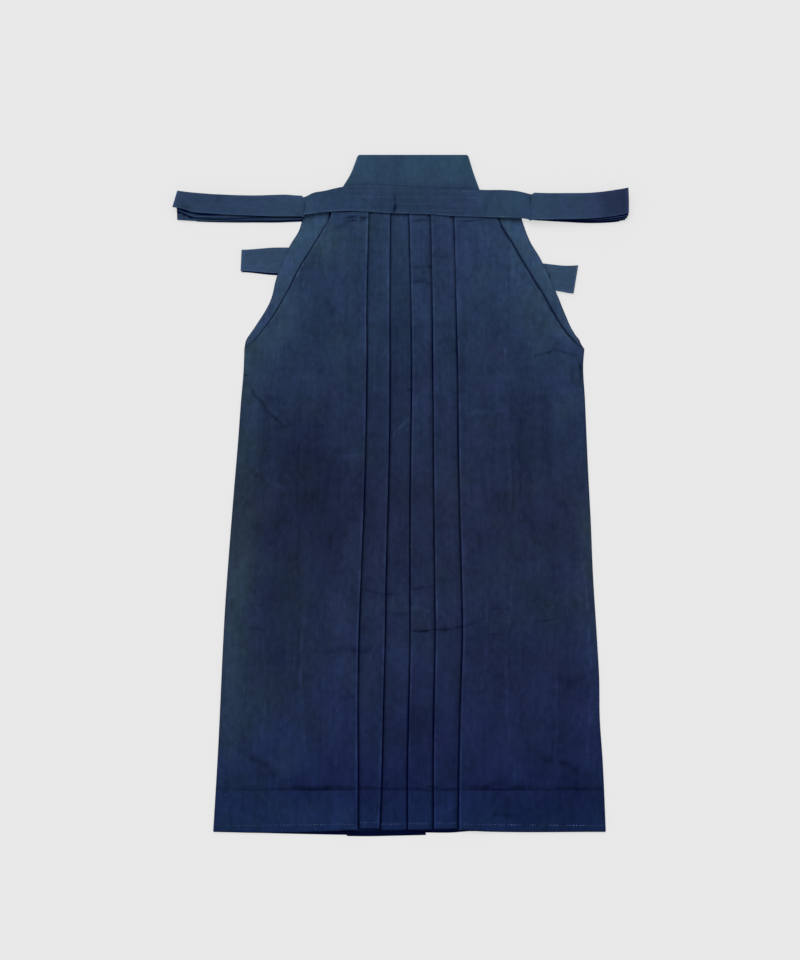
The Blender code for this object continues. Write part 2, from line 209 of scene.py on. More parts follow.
def clothShell(name, middle, half, uv, tone, hue=0.0, flip=False):  # a closed shell round a middle surface
    rows, cols = middle.shape[:2]
    normal = np.cross(np.gradient(middle, axis=1), np.gradient(middle, axis=0))
    normal /= np.maximum(np.linalg.norm(normal, axis=-1, keepdims=True), 1e-12)
    if flip:
        normal = -normal
    offset = normal * np.asarray(half, float)[..., None]
    points = np.vstack([(middle + offset).reshape(-1, 3), (middle - offset).reshape(-1, 3)]) * mm
    points += np.array((rowX, rowY, 0))
    index = np.arange(rows * cols).reshape(rows, cols)
    a, b, c, d = index[:-1, :-1], index[:-1, 1:], index[1:, 1:], index[1:, :-1]
    top = np.stack([a, b, c, d], axis=-1).reshape(-1, 4)
    under = np.stack([a, d, c, b], axis=-1).reshape(-1, 4) + rows * cols
    rims = []
    for one, two in (
        (index[1:, 0], index[:-1, 0]),
        (index[:-1, -1], index[1:, -1]),
        (index[0, :-1], index[0, 1:]),
        (index[-1, 1:], index[-1, :-1]),
    ):
        rims.append(np.stack([one, one + rows * cols, two + rows * cols, two], axis=-1))
    faces = np.vstack([top, under, *rims])
    if flip:
        faces = faces[:, ::-1]
    mesh = bpy.data.meshes.new(name)
    mesh.from_pydata(points.tolist(), [], faces.tolist())
    layer = mesh.uv_layers.new(name="weave")
    corner = np.empty(len(mesh.loops), np.int32)
    mesh.loops.foreach_get("vertex_index", corner)
    flat = np.asarray(uv, float).reshape(-1, 2)
    layer.data.foreach_set("uv", np.vstack([flat, flat])[corner].astype(np.float32).ravel())
    # how much darker or paler each point is, painted shade included, and its hue
    for title, values in (("dyeAndShade", tone), ("hue", hue)):
        flat = np.broadcast_to(np.asarray(values, float), (rows, cols)).ravel()
        marks = mesh.attributes.new(title, "FLOAT", "POINT").data
        marks.foreach_set("value", np.tile(flat, 2).astype(np.float32))
    return placed(name, mesh)


def roundOff(distance, reach, least):  # share of the thickness this far in from a rounded edge
    return least + (1 - least) * np.sqrt(1 - (1 - np.clip(distance / reach, 0, 1)) ** 2)


def rimShare(distance):
    return roundOff(distance, 0.45, 0.3)


def arcLength(middle, axis):
    step = np.linalg.norm(np.diff(middle, axis=axis), axis=-1)
    start = np.zeros_like(np.take(step, [0], axis=axis))
    return np.concatenate([start, np.cumsum(step, axis=axis)], axis=axis)


# Creases: from x, y to x, y, height, half width, and how much lighter (+) or darker (-) the colour is painted
# there; the darker ones lie in troughs and are painted shade.
bodyCreases = (
    # under the band
    (-154, 928, -132, 928, -0.30, 2.2, -0.45),
    (-114, 922, -98, 928, -0.45, 4.4, -0.5),
    (-86, 931, -66, 933, -0.30, 4.0, -0.35),
    (-100, 935, -63, 938, -0.35, 2.6, -0.65),
    (-92, 931, -82, 932, -0.30, 2.6, -0.6),
    (74, 931, 127, 934, -0.30, 2.0, -0.45),
    (6, 931, 33, 931, -0.30, 2.0, -0.45),
    (6, 853, 33, 853, -0.35, 2.2, -0.55),
    (6, 827, 32, 827, -0.30, 1.8, -0.45),
    (40, 870, 67, 870, -0.20, 1.8, -0.3),
    (-121, 810, -120, 744, -0.25, 8, -0.2),
    # wearer's right hip
    (-252, 718, -250, 676, 0.50, 2.5, 0.4),
    (-253, 678, -243, 678, -0.40, 1.6, -0.8),
    (-247, 665, -231, 642, -0.50, 1.8, -0.85),
    (-233, 644, -217, 628, -0.40, 1.7, -0.75),
    (-219, 630, -189, 595, -0.40, 2.4, -0.55),
    (-214, 626, -205, 617, 0.50, 3.0, 0.4),
    (-191, 596, -105, 598, -0.20, 4.0, -0.12),
    (-250, 546, -211, 504, -0.35, 3.0, -0.45),
    (-202, 506, -187, 500, 0.40, 4.0, 0.3),
    # middle
    (-100, 552, -73, 552, 0.25, 1.6, 0.4),
    (-29, 575, 0, 611, 0.30, 1.2, 0.9),
    (-5, 653, 3, 654, -0.25, 1.0, -0.4),
    # wearer's left hip
    (194, 709, 222, 721, -0.35, 2.6, -0.5),
    (222, 721, 258, 708, -0.30, 2.2, -0.45),
    (221, 727, 247, 742, -0.25, 2.6, -0.35),
    (262.5, 697, 261, 676, -0.40, 2.6, -0.9),
    (89, 614, 143, 622, 0.20, 4, 0.25),
    # below the knees, right
    (-65, 345, -18, 339, -0.45, 2.6, -0.4),
    (-27, 311, -1, 311, -0.25, 2.0, -0.35),
    (-126, 255, -47, 257, -0.50, 4.5, -0.33),
    (-99, 189, -79, 189, -0.25, 1.8, -0.35),
    (-243, 287, -214, 287, -0.20, 2.2, -0.25),
    (-247, 121, -171, 70, -0.30, 6, -0.3),
    (-202, 102, -182, 94, 0.35, 6, 0.25),
    (-38, 76, -31, 59, -0.30, 1.6, -0.4),
    # below the knees, left
    (3, 346, 33, 352, -0.35, 2.2, -0.35),
    (3, 318, 36, 312, 0.30, 2.2, 0.35),
    (3, 284, 38, 287, -0.55, 2.4, -0.65),
    (38, 287, 73, 290, -0.50, 2.4, -0.6),
    (73, 290, 98, 295, -0.35, 2.2, -0.36),
    (114, 280, 134, 280, -0.25, 1.8, -0.35),
    (123, 317, 144, 317, -0.25, 1.8, -0.35),
    (184, 298, 213, 303, -0.30, 2.2, -0.35),
    (224, 213, 250, 215, -0.25, 7, -0.25),
    (196, 100, 250, 80, -0.30, 5, -0.3),
    # fold of the hem
    (-176, 61, -85, 62, -0.25, 4.6, -0.26),
    (-150, 62, -112, 61, -0.10, 2.6, -0.12),
    (84, 62, 166, 63, -0.25, 5.0, -0.3),
    (-240, 59, -180, 58, -0.10, 1.6, -0.2),
    (195, 58, 268, 60, -0.15, 2.2, -0.2),
    (-70, 61, -6, 59, -0.12, 1.8, -0.25),
    (4, 59, 66, 58, -0.12, 1.8, -0.3),
    (119, 23, 146, 22, -0.20, 2.2, -0.5),
    # pressed lines along the warp
    (-153, 329, -149, 93, 0.20, 1.6, 0.45),
    (-165, 440, -164, 346, -0.20, 1.6, -0.3),
    (-215, 287, -211, 129, 0.20, 1.6, 0.25),
    (153, 364, 148, 76, 0.20, 1.6, 0.45),
    (159, 206, 157, 140, -0.20, 1.6, -0.3),
    (114, 385, 111, 200, 0.20, 1.6, 0.25),
    (215, 267, 210, 79, 0.20, 1.6, 0.4),
    (252, 418, 252, 104, 0.25, 1.8, 0.45),
    (63, 734, 62, 622, 0.15, 1.5, 0.25),
    (148, 725, 147, 690, 0.15, 1.3, 0.5),
    (151, 565, 149, 466, 0.15, 1.5, 0.25),
    (175, 660, 170, 450, -0.15, 1.6, -0.25),
)
creaseForm = {
    "partner": 0.45,  # height of the ridge or trough beside each crease, as a share of it
    "partnerAt": 1.7,
    "partnerWidth": 1.3,
    "bow": 0.035,  # how far a crease bows, as a share of its length
    "waver": (0.45, 8.5),  # how far it wavers, as a share of its width, and how quickly
    "patchy": ((0.35, 3.3, 1.7), (0.3, 7.1, 2.3)),  # waves in how dark or pale it is painted: size, length, shift
    "dyeAndShadeWidth": 0.75,
    "dyeAndShadeLimits": (-0.95, 0.6),
    "deepest": 0.3,  # no trough goes below this
}


def creased(x, y, table):
    x, y = np.asarray(x, float), np.asarray(y, float)
    rise, dyeAndShade = np.zeros_like(x), np.zeros_like(x)
    waver, waverRun = creaseForm["waver"]
    for number, (x0, y0, x1, y1, height, width, shade) in enumerate(table):
        length = math.hypot(x1 - x0, y1 - y0)
        ux, uy = (x1 - x0) / length, (y1 - y0) / length
        down = (x - x0) * ux + (y - y0) * uy
        across = (y - y0) * ux - (x - x0) * uy
        middle = 1 - (2 * np.clip(down / length, 0, 1) - 1) ** 2
        across = across - math.sin(2.4 * number) * creaseForm["bow"] * length * middle
        across = across + waver * width * np.sin(down / waverRun + 1.3 * number)
        past = np.maximum(0, np.maximum(-down, down - length))
        run = bell(past, 1.6 * width) * (0.5 + 0.5 * middle)
        partnerAt = math.copysign(creaseForm["partnerAt"] * width, math.cos(1.7 * number))
        beside = bell(across - partnerAt, creaseForm["partnerWidth"] * width)
        rise += height * run * (bell(across, width) - creaseForm["partner"] * beside)
        patchy = 1
        for size, reach, shift in creaseForm["patchy"]:
            patchy = patchy + size * np.sin(down / reach + shift * number)
        # darker or paler along the crease; the darker marks lie in troughs and are painted shade
        dyeAndShade += shade * run * patchy * bell(across, creaseForm["dyeAndShadeWidth"] * width)
    return rise, np.clip(dyeAndShade, *creaseForm["dyeAndShadeLimits"])


# Soft patches of colour: x, y, reach across, reach along, paler (+) or darker (-), greener (+) or redder (-).
bodyPatches = (
    (-156, 545, 36, 75, -0.24, 0.0),
    (-185, 400, 32, 130, -0.14, 0.0),
    (-262, 260, 26, 230, 0.60, 1.0),
    (-250, 470, 26, 170, 0.28, 0.8),
    (-245, 700, 32, 100, 0.24, 0.6),
    (-200, 790, 30, 60, 0.28, 0.5),
    (-190, 350, 50, 220, 0.0, 0.3),
    (-122, 470, 26, 120, -0.20, 0.0),
    (-200, 140, 55, 45, 0.24, 0.0),
    (-95, 20, 20, 30, 0.15, 0.0),
    (-100, 225, 18, 90, 0.15, 0.0),
    (-125, 900, 22, 30, 0.18, 0.0),
    (-16, 800, 16, 140, -0.16, 0.0),
    (15, 560, 24, 60, 0.12, 0.0),
    (35, 150, 28, 50, -0.15, 0.0),
    (172, 868, 22, 40, 0.30, 0.45),
    (205, 808, 22, 40, 0.34, 0.45),
    (240, 760, 22, 36, 0.34, 0.45),
    (245, 640, 26, 50, 0.25, 0.3),
    (190, 330, 60, 200, 0.0, 0.25),
    (235, 105, 60, 45, -0.20, 0.0),
    (200, 25, 70, 30, -0.18, 0.0),
    (-105, 295, 16, 60, 0.20, 0.0),
    (-13, 255, 24, 36, 0.26, 0.0),
    (-6, 150, 27, 36, -0.24, 0.0),
    (-18, 62, 48, 20, -0.10, 0.0),
    (72, 480, 34, 75, 0.20, 0.0),
    (130, 235, 38, 55, -0.18, -0.1),
    (225, 205, 28, 36, -0.16, -0.2),
    (235, 62, 38, 24, -0.12, 0.0),
    (172, 600, 13, 95, -0.12, 0.0),
    (268, 400, 20, 170, 0.20, 0.7),
    (120, 850, 30, 55, 0.14, 0.0),
    (-50, 670, 20, 52, -0.12, 0.1),
    (-205, 60, 65, 42, 0.10, 0.3),
    (-175, 14, 70, 14, 0.16, 0.5),
    (-130, 905, 42, 48, 0.0, 0.5),
    (52, 880, 42, 62, -0.04, -0.5),
    (-120, 577, 42, 28, 0.0, -0.4),
    (-50, 450, 50, 95, 0.0, 0.05),
    (38, 390, 20, 90, 0.06, 0.1),
    (-72, 235, 30, 62, 0.0, 0.15),
    (-200, 190, 70, 90, 0.04, 0.45),
    (200, 195, 85, 72, 0.0, -0.45),
    (38, 110, 18, 34, 0.0, -0.5),
    (-110, 775, 60, 60, -0.05, 0.1),
    (60, 710, 60, 60, -0.06, -0.2),
    (-222, 743, 28, 24, 0.30, 0.2),
    (-124, 872, 14, 22, 0.18, 0.1),
    (169, 834, 18, 26, 0.16, 0.1),
    (202, 790, 18, 26, 0.12, 0.1),
    (236, 743, 16, 24, 0.15, 0.1),
    (-54, 213, 12, 22, 0.18, 0.0),
    (-240, 165, 34, 30, 0.14, 0.2),
    (-86, 33, 14, 18, 0.15, 0.0),
    (49, 33, 14, 18, 0.17, 0.0),
    (-150, 33, 40, 14, 0.08, 0.2),
    (-226, 392, 16, 28, 0.15, 0.0),
    (240, 451, 18, 30, 0.10, 0.0),
    (256, 156, 18, 26, 0.14, 0.0),
    (-17, 605, 12, 80, -0.08, 0.0),
    (-92, 790, 16, 26, -0.11, 0.0),
    (74, 715, 32, 34, -0.09, 0.0),
    (204, 743, 18, 30, 0.2, 0.2),
    (234, 512, 24, 34, 0.2, 0.1),
    (266, 450, 22, 40, 0.2, 0.2),
    (262, 330, 22, 50, 0.16, 0.1),
    (-255, 213, 22, 30, 0.16, 0.2),
    (-18, 156, 12, 30, 0.24, 0.0),
    (-185, 99, 26, 24, 0.2, 0.1),
    (-168, 33, 34, 16, 0.2, 0.3),
    (255, 99, 24, 24, 0.22, 0.0),
    (97, 790, 18, 24, -0.16, 0.0),
    (15, 743, 14, 28, -0.16, 0.0),
    (-19, 743, 14, 40, -0.14, 0.0),
    (-19, 635, 14, 30, -0.12, 0.0),
    (-53, 512, 14, 30, -0.16, 0.0),
    (-51, 99, 14, 24, -0.15, 0.0),
    (13, 99, 14, 24, -0.15, 0.0),
    (165, 635, 18, 34, -0.12, 0.0),
)
waistPatches = (
    (-152, 962, 18, 24, 0.18, 0.2),
    (-112, 965, 22, 24, 0.07, 0.1),
    (-26, 955, 30, 24, -0.22, 0.0),
    (20, 978, 40, 12, -0.07, 0.0),
    (40, 950, 30, 14, -0.15, -0.3),
    (78, 950, 18, 12, -0.06, -0.3),
    (108, 975, 20, 14, 0.10, 0.1),
    (160, 962, 38, 30, 0.26, 0.2),
    (-45, 1012, 22, 16, -0.07, 0.0),
    (60, 1034, 60, 12, 0.08, 0.1),
    (-75, 1036, 14, 10, 0.08, 0.0),
    (-188, 960, 32, 24, 0.14, 0.0),
    (-322, 976, 34, 10, -0.13, -0.3),
    (-270, 982, 40, 6, 0.05, 0.5),
    (-352, 954, 9, 8, -0.28, 0.3),
    (206, 958, 16, 24, 0.11, 0.0),
    (286, 962, 22, 24, -0.09, -0.1),
    (338, 965, 14, 26, -0.12, -0.1),
    (-262, 868, 16, 20, 0.08, 0.0),
    (255, 836, 10, 16, -0.08, 0.0),
)
bodyRipples = ((3.1, 75, 120, 0.55), (7.7, 24, 60, 0.22), (1.3, 9, 26, 0.07))  # seed, reach x and y, height


def tonePatches(x, y, patches):
    tone, hue = np.zeros(np.shape(x)), np.zeros(np.shape(x))
    for atX, atY, across, down, paler, greener in patches:
        share = bell(x - atX, across) * bell(y - atY, down)
        tone, hue = tone + paler * share, hue + greener * share
    return tone, hue


def ripple(x, y, seed, wideX, wideY, size):  # slow noise of this height
    flat = [noise.noise(Vector((a / wideX, b / wideY, seed))) for a, b in zip(np.ravel(x), np.ravel(y))]
    return size * np.reshape(flat, np.shape(x))


def bodyRelief(x, y):
    rise, dyeAndShade = creased(x, y, bodyCreases)
    rise += 0.2
    for wave in bodyRipples:
        rise += ripple(x, y, *wave)
    deepest = creaseForm["deepest"]
    rise = np.where(rise < 0, -deepest * np.tanh(-rise / deepest), rise)
    return rise * (1 - smooth(920, 938, y)), dyeAndShade  # the band holds the cloth flat


# The legs.
body = {
    "wall": 0.8,
    "hemWall": 1.1,
    "hemTurn": (58.3, 59.9),
    "hemRows": (0, 0.15, 0.45, 1.2, 2.4, 4.2, 6.2, 8, 9.5, 12),
    "foldRows": (53.5, 55.5, 57, 58.2, 59.1, 60, 61.2, 63, 65.5),
    "rowSpacing": ((3.2, 592, 748), (7, 16, 592), (7, 748, 970)),  # spacing, from, to
    "edgeSteps": rimSteps + (1.5, 2.3, 3.3, 4.6),
    "outerColumns": 44,
    "climbSteps": 12,
    "flatSteps": (20, 16.5, 13, 10, 7.5, 5.5, 4, 2.8, 1.9),  # distances from a fold edge
    "underSteps": (2.2, 5, 12, 18),
    "foldSteps": 8,
    "backSteps": (16, 8, 3),  # from the inner fold back to the fold edge above it
    "stripShares": (0, 0.06, 0.13, 0.21, 0.3, 0.42, 0.55, 0.7, 0.85, 1),
    "lastStrip": (0, 0.5, 1, 1.6, 2.4, 3.6),
    "lastColumns": 9,
    "underLap": (2.2, 1.5, 0.9, 0.3, -1, -6, -14),  # the right panel running on under the left one
    "foldReach": 7,
    "slitHem": (7.5, 0.12, 0.6),  # width of the turned edge of a side slit, its extra thickness, its softness
}
pleatLook = {
    "rise": 0.55,  # how far a pleat's edge stands off the strip below it
    "riseShare": 0.75,
    "leastRise": 0.1,
    "flatten": (900, 932, 0.85),  # the band presses it down
    "pale": (0.6, 0.45, 0.35, 0.5, 0.5),  # how pale the edge of each pleat is
    "paleFrom": (150, 700, 0.6),  # less pale toward the waist
    "leastPale": 0.1,
    "paleAt": 1.6,
    "paleWidth": 1.7,
    "shadeWidth": 2.3,  # painted shade in the shelter of each edge
    "shadeFrom": (600, 880, 0.4),  # less dark toward the waist
    "leastShade": 0.35,
    "shadeWaver": 0.35,
    "hidden": -0.5,  # painted shade inside the folds
}
pleatWaves = {  # unevenness along a pleat's edge: size, step from pleat to pleat, length, seed
    "rise": ((0.9, 5.3, 60, 2.2), (0.5, 3.1, 17, 5.1)),
    "pale": ((1.4, 4.7, 45, 6.2), (0.9, 9.1, 9, 1.4)),
    "dark": ((0.9, 7.7, 70, 8.4), (0.5, 2.9, 13, 4.4)),
}
legLines = {  # lines of painted shade and of pale marks on the legs
    "hidden": -0.45,  # marks below this lie inside a fold
    "sheltered": -0.3,
    "edgeRelief": (0.35, 22),  # share of the relief left at a side edge, and how far in it is whole
    "hemDent": (0.2, 1.1),
    "wornColumns": 12,  # the columns of points beside a slit
    "slitWorn": (5.5, 9, 15, 1.6),
    "slitWaver": ((0.35, 6.5), (0.25, 2.7)),  # how the dark line swells: share, length
    "slitPaleWidth": 0.9,
    "slitPaleLeast": 0.25,
    # the painted shadow along the edge of each side slit: how dark it is, and how wide on each side
    "slitDeep": 0.95,
    "slitDark": {"right": 1.2, "left": 2.2},
    "slitPale": {"right": 0.6, "left": 0.12},
    "slitPaleAt": 2.6,
    "hemFold": (58.6, 1.2, 0.75),  # y, width, and how dark the painted shade along the hem's turned-up step is
    "hemFoldPlaces": ((-130, 55), (128, 55)),  # where along x it shows most, and how far
    "hemRow": (9.2, 1.3),  # the rubbed line along the stitches of the hem
    "hemWorn": (2.6, 7, 40, 1.6),
    "hemWornLeast": 0.3,
    "hemRowPlaces": ((-145, 30), (190, 60)),
    "hemEdge": (1.3, 0.7),
    "bandShade": (1.2, 0.7),
    "bandWaver": (0.8, 0.5, 9.0),
}
backPanel = {
    "top": 938,
    "headShares": (0.25, 0.5, 0.75, 1),  # rows between its top and the foot of the board
    "marginColumns": 10,
    "panelColumns": 24,
    "besideSlit": (4.5, 3.2, 2.2, 1.4, 0.7, 0),
    "seamLap": (0.4, 15, 25),  # the two panels lap this far at the hem, up to y
    "slitExtra": 0.05,
    "strapShare": 0.76,  # share of its lift that it keeps over a back strap
    "stepHalf": 0.3,
    "slitOpen": 25,
    "slitLightAndShade": (0.5, 1.5, 4),  # painted light inside the slit, painted shadow beside the front edge, and from how far in
    # painted shade along the bottom of the back hem, where it shows below the front hem
    "hemDark": (6, 9, 0.85),
}


def bodyHalf(y):
    return (body["wall"] + (body["hemWall"] - body["wall"]) * (1 - smooth(*body["hemTurn"], y))) / 2


def bodyRows(end):  # closest along the hem, the creases across the legs, the hips and the foot of the band
    rows = list(body["hemRows"] + body["foldRows"])
    for _, y0, _, y1, _, _, _ in bodyCreases:
        if abs(y1 - y0) < 14:
            rows += list(np.arange(min(y0, y1) - 1.5, max(y0, y1) + 1.6, 1.5))
    rows += list(np.arange(925, 952, 2))
    kept = []
    for y in sorted(rows):
        if y < end - 2 and (not kept or y - kept[-1] > 1.3 or y < 70):
            kept.append(y)
    for spacing, low, high in body["rowSpacing"]:
        for y in np.arange(low, min(high, end - 2), spacing):
            if min(abs(y - row) for row in kept) > 0.6 * spacing:
                kept.append(float(y))
    return np.array(sorted(kept) + [end])


def uneven(kind, number, y):
    total = 0
    for size, step, reach, seed in pleatWaves[kind]:
        total += size * noise.noise(Vector((number * step, y / reach, seed)))
    return total


def foldRise(number, y):
    start, end, share = pleatLook["flatten"]
    whole = pleatLook["rise"] * (pleatLook["riseShare"] + uneven("rise", number, y))
    rise = max(pleatLook["leastRise"], whole)
    return rise * (1 - share * float(smooth(start, end, y)))


def foldPale(number, y):
    start, end, least = pleatLook["paleFrom"]
    base = pleatLook["pale"][number] * (least + (1 - least) * (1 - float(smooth(start, end, y))))
    return base * max(pleatLook["leastPale"], 1 + uneven("pale", number, y))


# how dark the painted shade beside and under each pleat's edge is
def foldDark(number, y):
    start, end, share = pleatLook["shadeFrom"]
    dark = 1.0 - share * float(smooth(start, end, y)) + pleatLook["shadeWaver"] * uneven("dark", number, y)
    return min(1.0, max(pleatLook["leastShade"], dark))


def halfTurn(edge, low, high, reach, toward):  # round a fold, from its upper layer down to its lower one
    radius = (high - low) / 2
    centre = edge - toward * reach
    arc = []
    for k in range(body["foldSteps"] + 1):
        a = math.pi / 2 - math.pi * k / body["foldSteps"]
        arc.append((centre + toward * radius * math.cos(a), (low + high) / 2 + radius * math.sin(a)))
    return arc


def panelLine(side, y):  # middle line of a front panel at this height: x, z, hem drop, painted shade and pale marks, rise
    out = outward[side]
    t = float(solidWallAt(y))
    pitch = t + gap
    low = pitch + float(frontLift(y)) + t / 2
    mid, high = low + pitch, low + 2 * pitch
    reach = pitch / 2 + t / 2
    depth, hidden = solid["pleatDepth"], pleatLook["hidden"]
    edges = [float(curve(pleatEdges, y, column)) for column in range(1, 6)]
    numbers = (0, 1) if side == "right" else (4, 3, 2)
    innerEnd = edges[2] + depth
    first = edges[numbers[0]]

    # the flat outer part, and its climb onto the first pleat
    outer = float(frontEdge(side, y))
    inner = outer - out * body["edgeSteps"][-1]
    foot = first + out * (depth + solid["climbRun"])
    top = first + out * (depth + solid["climbRoom"])
    flat = [(outer - out * step, low) for step in body["edgeSteps"]]
    for k in range(1, body["outerColumns"] + 1):
        flat.append((inner + (foot - inner) * k / body["outerColumns"], low))
    for k in range(1, body["climbSteps"] + 1):
        u = k / body["climbSteps"]
        flat.append((foot + (top - foot) * u, low + (high - low) * float(smooth(0, 1, u))))
    line = [(x, z, float(curve(frontHem[side], x)), 0, 0) for x, z in flat]

    drop = float(curve(frontHem[side], first))
    for place, number in enumerate(numbers):
        edge = edges[number]
        stand, pale, dark = foldRise(number, y), foldPale(number, y), foldDark(number, y)
        for d in body["flatSteps"]:  # the face of the pleat, up to its edge
            light = pale * float(bell(d - pleatLook["paleAt"], pleatLook["paleWidth"]))
            line.append((edge + out * d, high, drop, light, stand * float(bell(d, body["foldReach"]))))
        # round the fold and go back under it: paler on top of the rounding, painted shade below it and inside
        for k, (x, z) in enumerate(halfTurn(edge, mid, high, reach, -out)):
            line.append((x, z, drop, 0.5 * pale if k < 2 else -dark, stand))
        for d in body["underSteps"]:  # back under the face
            line.append((edge + out * d, mid, drop, hidden, stand * float(bell(d, body["foldReach"]))))
        if number == 2:  # the inmost pleat of the left panel ends there
            line.append((innerEnd, mid, drop, hidden, 0))
            break
        drop = stripHem[side][place]
        # the inner fold and the layer under it lie inside the pleat, in painted shade
        for x, z in halfTurn(edge + out * depth + out * solid["turnReach"], low, mid, reach, out):
            line.append((x, z, drop, hidden, 0))
        line += [(edge + out * d, low, drop, hidden, 0) for d in body["backSteps"]]
        start = edge - out * gap
        # each strip lies in painted shade where it runs in below the edge of the fold above it
        if place + 1 < len(numbers):  # the strip between two pleats climbs onto the next one
            end = edges[numbers[place + 1]] + out * (depth + solid["climbRoom"])
            for u in body["stripShares"]:
                x, z = start + (end - start) * u, low + (high - low) * float(smooth(0, 1, u))
                line.append((x, z, drop, -dark * float(bell(x - edge, pleatLook["shadeWidth"])), 0))
        else:
            for d in body["lastStrip"]:
                shade = -dark * float(bell(d + gap, pleatLook["shadeWidth"]))
                line.append((start - out * d, low, drop, shade, 0))
            here, there = start - out * body["lastStrip"][-1], edges[2] + out * 3
            for k in range(1, body["lastColumns"] + 1):
                line.append((here + (there - here) * k / body["lastColumns"], low, drop, 0, 0))
            for d in body["underLap"]:
                shade = -dark * float(bell(max(0, d), pleatLook["shadeWidth"]))
                line.append((edges[2] + out * d, low, drop, shade, 0))
            line.append((innerEnd, low, drop, hidden, 0))
    return np.array(line, float)


def clearest(x, least, places):  # a line shows more in some places along x than between them
    return least + sum(0.6 * bell(x - at, reach) for at, reach in places)


def slitTurned(y, fromEdge):  # where the edge of a side slit is turned in
    width, _, soft = body["slitHem"]
    return (y > hip) * (1 - smooth(width - soft, width + soft, fromEdge))


def frontLeg(side):
    rows = bodyRows(solid["panelEnd"])
    lines = np.array([panelLine(side, y) for y in rows])
    rows = rows[:, None]
    x, layer, drop, mark, stand = np.moveaxis(lines, -1, 0)
    drop = drop * (1 - smooth(0, solid["settleHeight"], rows))
    y = rows + drop
    fromEdge = (x[:, :1] - x) * outward[side]
    relief, dyeAndShade = bodyRelief(x, y)
    least, reach = legLines["edgeRelief"]
    relief *= least + (1 - least) * smooth(0, reach, fromEdge)
    shown, face = mark > legLines["hidden"], mark > legLines["sheltered"]
    dent, width = legLines["hemDent"]
    z = layer + stand + relief - dent * bell(y - solid["hemDepth"], width) * face
    half = bodyHalf(rows) * rimShare(np.minimum(rows, solid["panelEnd"] - rows)) * rimShare(fromEdge)
    extra = slitTurned(rows, fromEdge) * body["slitHem"][1] / 2
    half, middle = half + extra, np.stack([x, y, z + extra], axis=-1)

    # painted shade along the step where the hem is turned up
    at, width, dark = legLines["hemFold"]
    clear = clearest(x, 0.3, legLines["hemFoldPlaces"])
    tone = mark + dyeAndShade * shown - dark * bell(y - at, width) * clear * face
    # a pale line beside each slit's edge, and a painted shadow along the edge itself that swells and thins
    count = legLines["wornColumns"]
    worn = ripple(x[:, :count], y[:, :count], *legLines["slitWorn"])
    worn = np.pad(worn, ((0, 0), (0, x.shape[1] - count)), mode="edge")
    pale = (legLines["slitPaleLeast"] + worn) * legLines["slitPale"][side]
    pale = pale * bell(fromEdge - legLines["slitPaleAt"], legLines["slitPaleWidth"])
    waver = sum(share * np.sin(y / length) for share, length in legLines["slitWaver"])
    width = legLines["slitDark"][side] * (1 + waver)
    tone += (rows > hip) * (pale - legLines["slitDeep"] * bell(fromEdge, width))
    at, width = legLines["hemRow"]
    worn = legLines["hemWornLeast"] + ripple(x, y, *legLines["hemWorn"])
    tone += clearest(x, 0.4, legLines["hemRowPlaces"]) * bell(y - at - drop, width) * worn * shown
    # painted shadow on the legs below the foot of the band
    width, dark = legLines["bandShade"]
    base, share, length = legLines["bandWaver"]
    dark = dark * (base + share * np.sin(x / length))
    tone -= dark * bell(y - curve(bandFoot, x) + 0.2, width) * shown
    # painted shade along the bottom edge of the hem, where the back hem shows in shade below it
    width, dark = legLines["hemEdge"]
    tone -= dark * bell(rows, width) * shown
    patches, hue = tonePatches(x, y, bodyPatches)

    across = arcLength(middle, 1)
    print("front leg", side, x.shape, "cloth width", round(float(across[20, -1])), "mm")
    anchor = x.shape[1] // 2
    across = across - across[:, anchor:anchor + 1]
    uv = np.stack([across * mm, y * mm], axis=-1)
    name, flip = "frontLeg" + side.capitalize(), side == "left"
    return clothShell(name, middle, half, uv, tone + patches, hue, flip)


def overStraps(side, y):  # how far the back strap keeps the panel up where it passes below
    foot, low, high, head = strapCrossing[side]
    return backPanel["strapShare"] * smooth(foot, low, y) * (1 - smooth(high, head, y))


